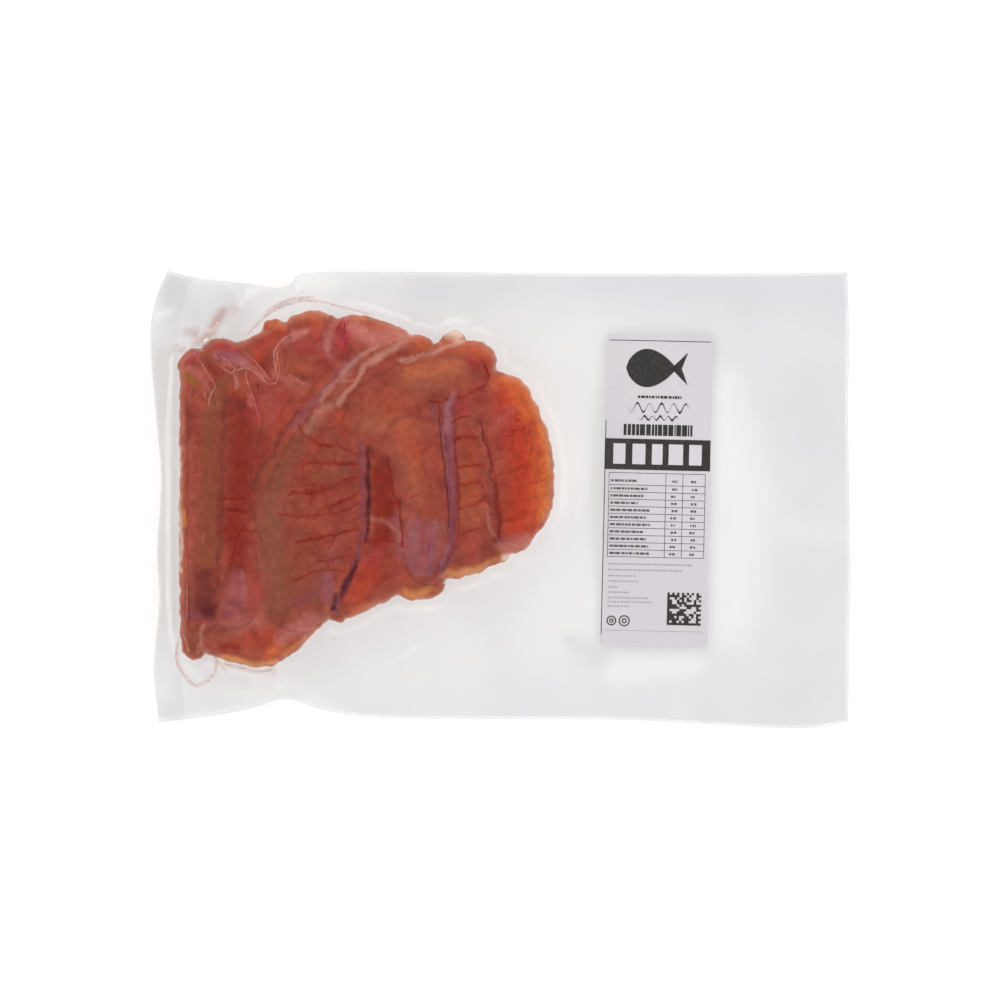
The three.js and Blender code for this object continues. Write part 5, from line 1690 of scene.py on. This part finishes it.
def sheet_on(name, bm, surface):
    """A thin closed sheet made from flat shapes in label axes, laid on a surface."""
    bmesh.ops.recalc_face_normals(bm, faces=bm.faces)
    bmesh.ops.solidify(bm, geom=bm.faces[:], thickness=0.1)
    mesh = mesh_from(bm, name)
    flat = mesh_places(mesh)
    cos, sin = math.cos(LABEL_TILT), math.sin(LABEL_TILT)
    turned = np.column_stack([flat[:, 0] * cos - flat[:, 1] * sin, flat[:, 0] * sin + flat[:, 1] * cos])
    places = turned + LABEL_MIDDLE
    heights = heights_on(surface, places)
    above = flat[:, 2] > flat[:, 2].mean()
    give_places(mesh, to_frame(places, heights + np.where(above, PRINT_PROUD, -PRINT_SUNK)))
    return turned_outwards(mesh)


DRIP_DEPTH = 0.4  # the lines of drip below the upper web


class POUCH_OT_drip(bpy.types.Operator):
    """Lay the drip and its bubbles between the two webs"""

    bl_idname = "pouch.drip"
    bl_label = "Drip and bubbles"

    def execute(self, context):
        settings = context.scene.pouch_film
        film = surface_of(["film"])
        lines = [stepped(points, 0.9) * (1, 1, RIBBON_SPREAD) for points in DRIP_LINES]
        pink = soft_material("drip_liquid", settings.drip, settings.drip_light, settings.drip_opacity, 0.5)
        piece(soft_lines("drip_lines", lines, film, 0.1, -DRIP_DEPTH), pink)
        # bubbles, some of them painted glints
        bm = bmesh.new()
        for x, y, radius in BUBBLES:
            place = np.array([[x, y]])
            made = bmesh.ops.create_icosphere(bm, subdivisions=3, radius=radius * MM)["verts"]
            bmesh.ops.scale(bm, vec=(1, 1, 0.5), verts=made)
            (place,) = to_frame(place, heights_on(film, place) + BUBBLE_LIFT)
            bmesh.ops.translate(bm, vec=Vector(place), verts=made)
        piece(mesh_from(bm, "bubbles"), bubble_material(settings))
        return {"FINISHED"}


class POUCH_OT_film(bpy.types.Operator):
    """Draw the film over the roe"""

    bl_idname = "pouch.film"
    bl_label = "Film and pleats"

    def execute(self, context):
        settings = context.scene.pouch_film
        piece(film_mesh(settings), film_material(settings), ["pouch"])
        # the pleats are pale ribbons that paint the film's glints along its folds
        film = surface_of(["film"])
        lines = [stepped(points, 0.7) * (1, 1, RIBBON_SPREAD) for points in FILM_PLEATS_AND_GLINTS]
        fold_glints = soft_material(
            "folded_film_glint", settings.pleat_glint_tint, settings.pale_fold_glint, settings.pleat_glint_opacity, 0.6
        )
        piece(soft_lines("film_pleat_glints", lines, film, 0.16), fold_glints)
        return {"FINISHED"}


# The label and its print


def add_bar(bm, left, bottom, right, top, cell=2.2):
    """A flat bar in label axes, cut into cells so that it can follow the paper."""
    wide, tall = right - left, top - bottom
    made = bmesh.ops.create_grid(
        bm, x_segments=max(1, math.ceil(wide / cell)), y_segments=max(1, math.ceil(tall / cell)), size=0.5
    )["verts"]
    bmesh.ops.scale(bm, vec=(wide, tall, 1), verts=made)
    bmesh.ops.translate(bm, vec=((left + right) / 2, (bottom + top) / 2, 0), verts=made)
    return made


def add_ring(bm, x, y, radius, width, segments=28):
    """A flat ring in label axes."""
    made = add_bar(bm, 0, 0, segments, 1, 1.0)
    for vertex in made:
        angle = 2 * math.pi * vertex.co.x / segments
        reach = radius - width * (vertex.co.y > 0.5)
        vertex.co = Vector((x + reach * math.cos(angle), y + reach * math.sin(angle), 0))
    bmesh.ops.remove_doubles(bm, verts=made, dist=0.001)


def add_fish(bm):
    """A plain fish in side view: a lens for the body, and a forked tail."""
    long, tall = EMBLEM_SIZE
    body = add_bar(bm, -0.5, -0.5, 0.5, 0.5, 0.05)
    for vertex in body:
        share = vertex.co.x + 0.5
        half = tall / 2 * (0.04 + math.sin(math.pi * share**0.8) ** 0.8 * 0.96)
        x = EMBLEM_MIDDLE[0] - long / 2 + share * long * 0.8
        vertex.co = Vector((x, EMBLEM_MIDDLE[1] + 2 * vertex.co.y * half, 0))
    tail = add_bar(bm, -0.5, -0.5, 0.5, 0.5, 0.1)
    for vertex in tail:
        share = vertex.co.x + 0.5
        half = tall * (0.07 + 0.36 * share)
        notch = 0.1 * long * share * (1 - abs(2 * vertex.co.y))
        x = EMBLEM_MIDDLE[0] + long * (0.27 + 0.23 * share) - notch
        vertex.co = Vector((x, EMBLEM_MIDDLE[1] + 2 * vertex.co.y * half, 0))


def add_wave(bm, height, length, rise):
    """A wavy line in label axes."""
    made = add_bar(bm, -length / 2, -0.45, length / 2, 0.45, 0.5)
    for vertex in made:
        turn = vertex.co.x / length * 2 * math.pi
        thin = 0.7 + 0.5 * math.sin(3 * turn + 1)
        vertex.co.y = height + vertex.co.y * thin + rise * math.sin(5 * turn)


def printed(name, bm, paper, material):
    """A thin closed print made from flat shapes, laid on the label's paper."""
    mesh = sheet_on(name, bm, paper)
    made = piece(mesh, material)
    mesh.polygons.foreach_set("use_smooth", np.zeros(len(mesh.polygons), bool))
    return made


def dashes(bm, draw, left, right, middle, height, longest):
    """A broken line of short dashes, as fine print looks from a step away."""
    x = left
    while x < right - 0.4:
        end = min(x + draw.uniform(0.5, longest), right)
        add_bar(bm, x, middle - height / 2, end, middle + height / 2, 3.0)
        x = end + draw.uniform(0.25, 0.55)


def add_table(lines, text, draw):
    """The ruled table: its lines, and dashes in its cells."""
    left, bottom, right, top = TABLE
    row = (top - TABLE_HEAD - bottom) / TABLE_ROWS
    levels = [top, *(top - TABLE_HEAD - row * i for i in range(TABLE_ROWS + 1))]
    for level in levels:
        add_bar(lines, left, level - 0.1, right, level + 0.1, 3.0)
    for x in (left, *TABLE_COLUMNS, right):
        add_bar(lines, x - 0.1, bottom, x + 0.1, top, 3.0)
    for high, low in zip(levels[:-1], levels[1:]):
        middle = low + min((high - low) / 2, row / 2 + 0.3)
        reach = draw.uniform(0.45, 0.75)
        dashes(text, draw, left + 0.8, left + 0.8 + reach * (TABLE_COLUMNS[0] - left), middle, 0.95, 2.4)
        for cell_left, cell_right in (TABLE_COLUMNS, (TABLE_COLUMNS[1], right)):
            centre = (cell_left + cell_right) / 2 + draw.uniform(-0.4, 0.4)
            dashes(text, draw, centre - 1.2, centre + 1.2, middle, 0.95, 1.2)


class POUCH_OT_label(bpy.types.Operator):
    """Finish the label's paper and lay its generic print on it"""

    bl_idname = "pouch.label"
    bl_label = "Label"

    def execute(self, context):
        settings = context.scene.pouch_label
        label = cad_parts["label"]
        label.data.materials.clear()
        label.data.materials.append(paper_material(settings))
        paper = surface_of(["label"])
        draw = random.Random(settings.seed)
        heavy = ink_material("heavy_ink", settings.ink, settings)
        fine = ink_material("fine_ink", settings.fine_ink, settings)
        pale = ink_material("pale_ink", settings.pale_ink, settings)
        blank = ink_material("blank_in_band", settings.paper, settings)

        shapes = bmesh.new()
        add_fish(shapes)
        printed("print_fish", shapes, paper, heavy)

        shapes = bmesh.new()
        for height, length, rise in WAVES:
            add_wave(shapes, height, length, rise)
        dashes(shapes, draw, -9.0, 10.0, 40.2, 1.1, 1.6)
        printed("print_waves", shapes, paper, heavy)

        shapes = bmesh.new()
        left, bottom, right, top = WEIGHT_ROW
        dashes(shapes, draw, left, right, (bottom + top) / 2, top - bottom, 2.2)
        printed("print_bars", shapes, paper, heavy)

        shapes = bmesh.new()
        add_bar(shapes, *BAND)
        printed("print_band", shapes, paper, heavy)
        shapes = bmesh.new()
        left, bottom, right, top = BAND_BARS
        for x, wide in BAND_BLOCKS:
            add_bar(shapes, left + x, bottom, left + x + wide, top)
        printed("print_blocks", shapes, surface_of(["print_band"]), blank)

        lines, text, faint = bmesh.new(), bmesh.new(), bmesh.new()
        add_table(lines, text, draw)
        # the rules include the painted shadow along the label's left edge
        for rule in RULES:
            add_bar(lines, *rule)
        for x, y, radius in RINGS:
            add_ring(lines, x, y, radius, 0.5)
            add_ring(lines, x, y, radius * 0.45, 0.5)
        left, tall = NOTES
        for height, long in NOTE_LINES:
            dashes(faint, draw, left, left + long, height, tall, 1.3)
        for rule in FAINT_RULES:
            add_bar(faint, *rule)
        printed("print_rules", lines, paper, heavy)
        printed("print_dashes", text, paper, fine)
        printed("print_notes", faint, paper, pale)

        shapes = bmesh.new()
        left, bottom, right, top = CODE
        wide, tall = (right - left) / CODE_CELLS[0], (top - bottom) / CODE_CELLS[1]
        for i in range(CODE_CELLS[0]):
            for j in range(CODE_CELLS[1]):
                last_row, last_column = j == CODE_CELLS[1] - 1, i == CODE_CELLS[0] - 1
                edge = i == 0 or j == 0 or (last_row and i % 2 == 0) or (last_column and j % 2 == 0)
                if edge or (draw.random() < CODE_FILL and not last_row and not last_column):
                    x, y = left + i * wide, bottom + j * tall
                    add_bar(shapes, x, y, x + wide, y + tall)
        printed("print_code", shapes, paper, heavy)
        return {"FINISHED"}


# The stage


def soft_light(name, power, size, place, target=(0, 0, 0)):
    light = bpy.data.lights.new(name, "AREA")
    light.energy = power
    light.shape = "RECTANGLE"
    light.size, light.size_y = size
    holder = bpy.data.objects.new(name, light)
    holder.location = place
    holder.rotation_euler = (Vector(target) - Vector(place)).to_track_quat("-Z", "Y").to_euler()
    bpy.context.scene.collection.objects.link(holder)


SENSOR = 36.0  # millimetres
AIM = (-0.00024, -0.0002)  # the picture's middle
LIGHT_REACH = 1.3
LIGHT_SLANT = math.radians(55)  # from straight up


class POUCH_OT_stage(bpy.types.Operator):
    """Set up the floor, the lights and the camera"""

    bl_idname = "pouch.stage"
    bl_label = "Stage"

    def execute(self, context):
        scene = context.scene
        settings = scene.pouch_stage
        camera = bpy.data.cameras.new("camera")
        camera.sensor_width = SENSOR
        camera.lens = SENSOR * settings.distance / settings.width
        camera.clip_end = 20
        holder = bpy.data.objects.new("camera", camera)
        holder.location = (*AIM, settings.distance)
        scene.collection.objects.link(holder)
        scene.camera = holder

        bm = bmesh.new()
        bmesh.ops.create_grid(bm, x_segments=4, y_segments=4, size=3)
        floor = bpy.data.objects.new("floor", mesh_from(bm, "floor"))
        scene.collection.objects.link(floor)
        material, tree, surface = new_material("pale_floor")
        surface["Base Color"].default_value = (0.52, 0.52, 0.52, 1)
        surface["Roughness"].default_value = 0.9
        surface["Specular IOR Level"].default_value = 0.1
        surface["Emission Color"].default_value = (1, 1, 1, 1)
        surface["Emission Strength"].default_value = settings.floor_glow
        floor.data.materials.append(material)

        low, up = LIGHT_REACH * math.sin(LIGHT_SLANT), LIGHT_REACH * math.cos(LIGHT_SLANT)
        for name, place in {
            "left_light": (-low, 0, up),
            "right_light": (low, 0, up),
            "far_light": (0, low, up),
            "near_light": (0, -low, up),
        }.items():
            soft_light(name, settings.soft_light, (1.3, 0.5), place)
        soft_light("key_light", settings.key_light, (0.12, 0.12), (-0.7, 0.75, 0.95))

        world = bpy.data.worlds.new("surround")
        world.use_nodes = True
        backdrop = world.node_tree.nodes["Background"].inputs
        backdrop["Color"].default_value = (1, 1, 1, 1)
        backdrop["Strength"].default_value = settings.surround
        scene.world = world
        scene.view_settings.view_transform = "Standard"
        return {"FINISHED"}


class POUCH_PT_panel(bpy.types.Panel):
    """The pouch's operators and settings"""

    bl_label = "Pouch"
    bl_idname = "POUCH_PT_panel"
    bl_space_type = "VIEW_3D"
    bl_region_type = "UI"
    bl_category = "Pouch"

    def draw(self, context):
        for operator in OPERATORS:
            self.layout.operator(operator.bl_idname)
        for name, group in SETTINGS.items():
            box = self.layout.box()
            box.label(text=group.__doc__)
            for setting in group.__annotations__:
                box.prop(getattr(context.scene, name), setting)


OPERATORS = (
    POUCH_OT_stage, POUCH_OT_film, POUCH_OT_roe, POUCH_OT_vessels, POUCH_OT_drip, POUCH_OT_label,
)
SETTINGS = {
    "pouch_roe": RoeSettings,
    "pouch_film": FilmSettings,
    "pouch_label": LabelSettings,
    "pouch_stage": StageSettings,
}
CLASSES = (*SETTINGS.values(), *OPERATORS, POUCH_PT_panel)


def register():
    for item in CLASSES:
        bpy.utils.register_class(item)
    for name, group in SETTINGS.items():
        setattr(bpy.types.Scene, name, PointerProperty(type=group))


def unregister():
    for name in SETTINGS:
        delattr(bpy.types.Scene, name)
    for item in reversed(CLASSES):
        bpy.utils.unregister_class(item)


def main():
    register()
    bpy.ops.pouch.stage()
    bpy.ops.pouch.film()
    bpy.ops.pouch.roe()
    bpy.ops.pouch.vessels()
    bpy.ops.pouch.drip()
    bpy.ops.pouch.label()


if __name__ == "__main__":
    main()
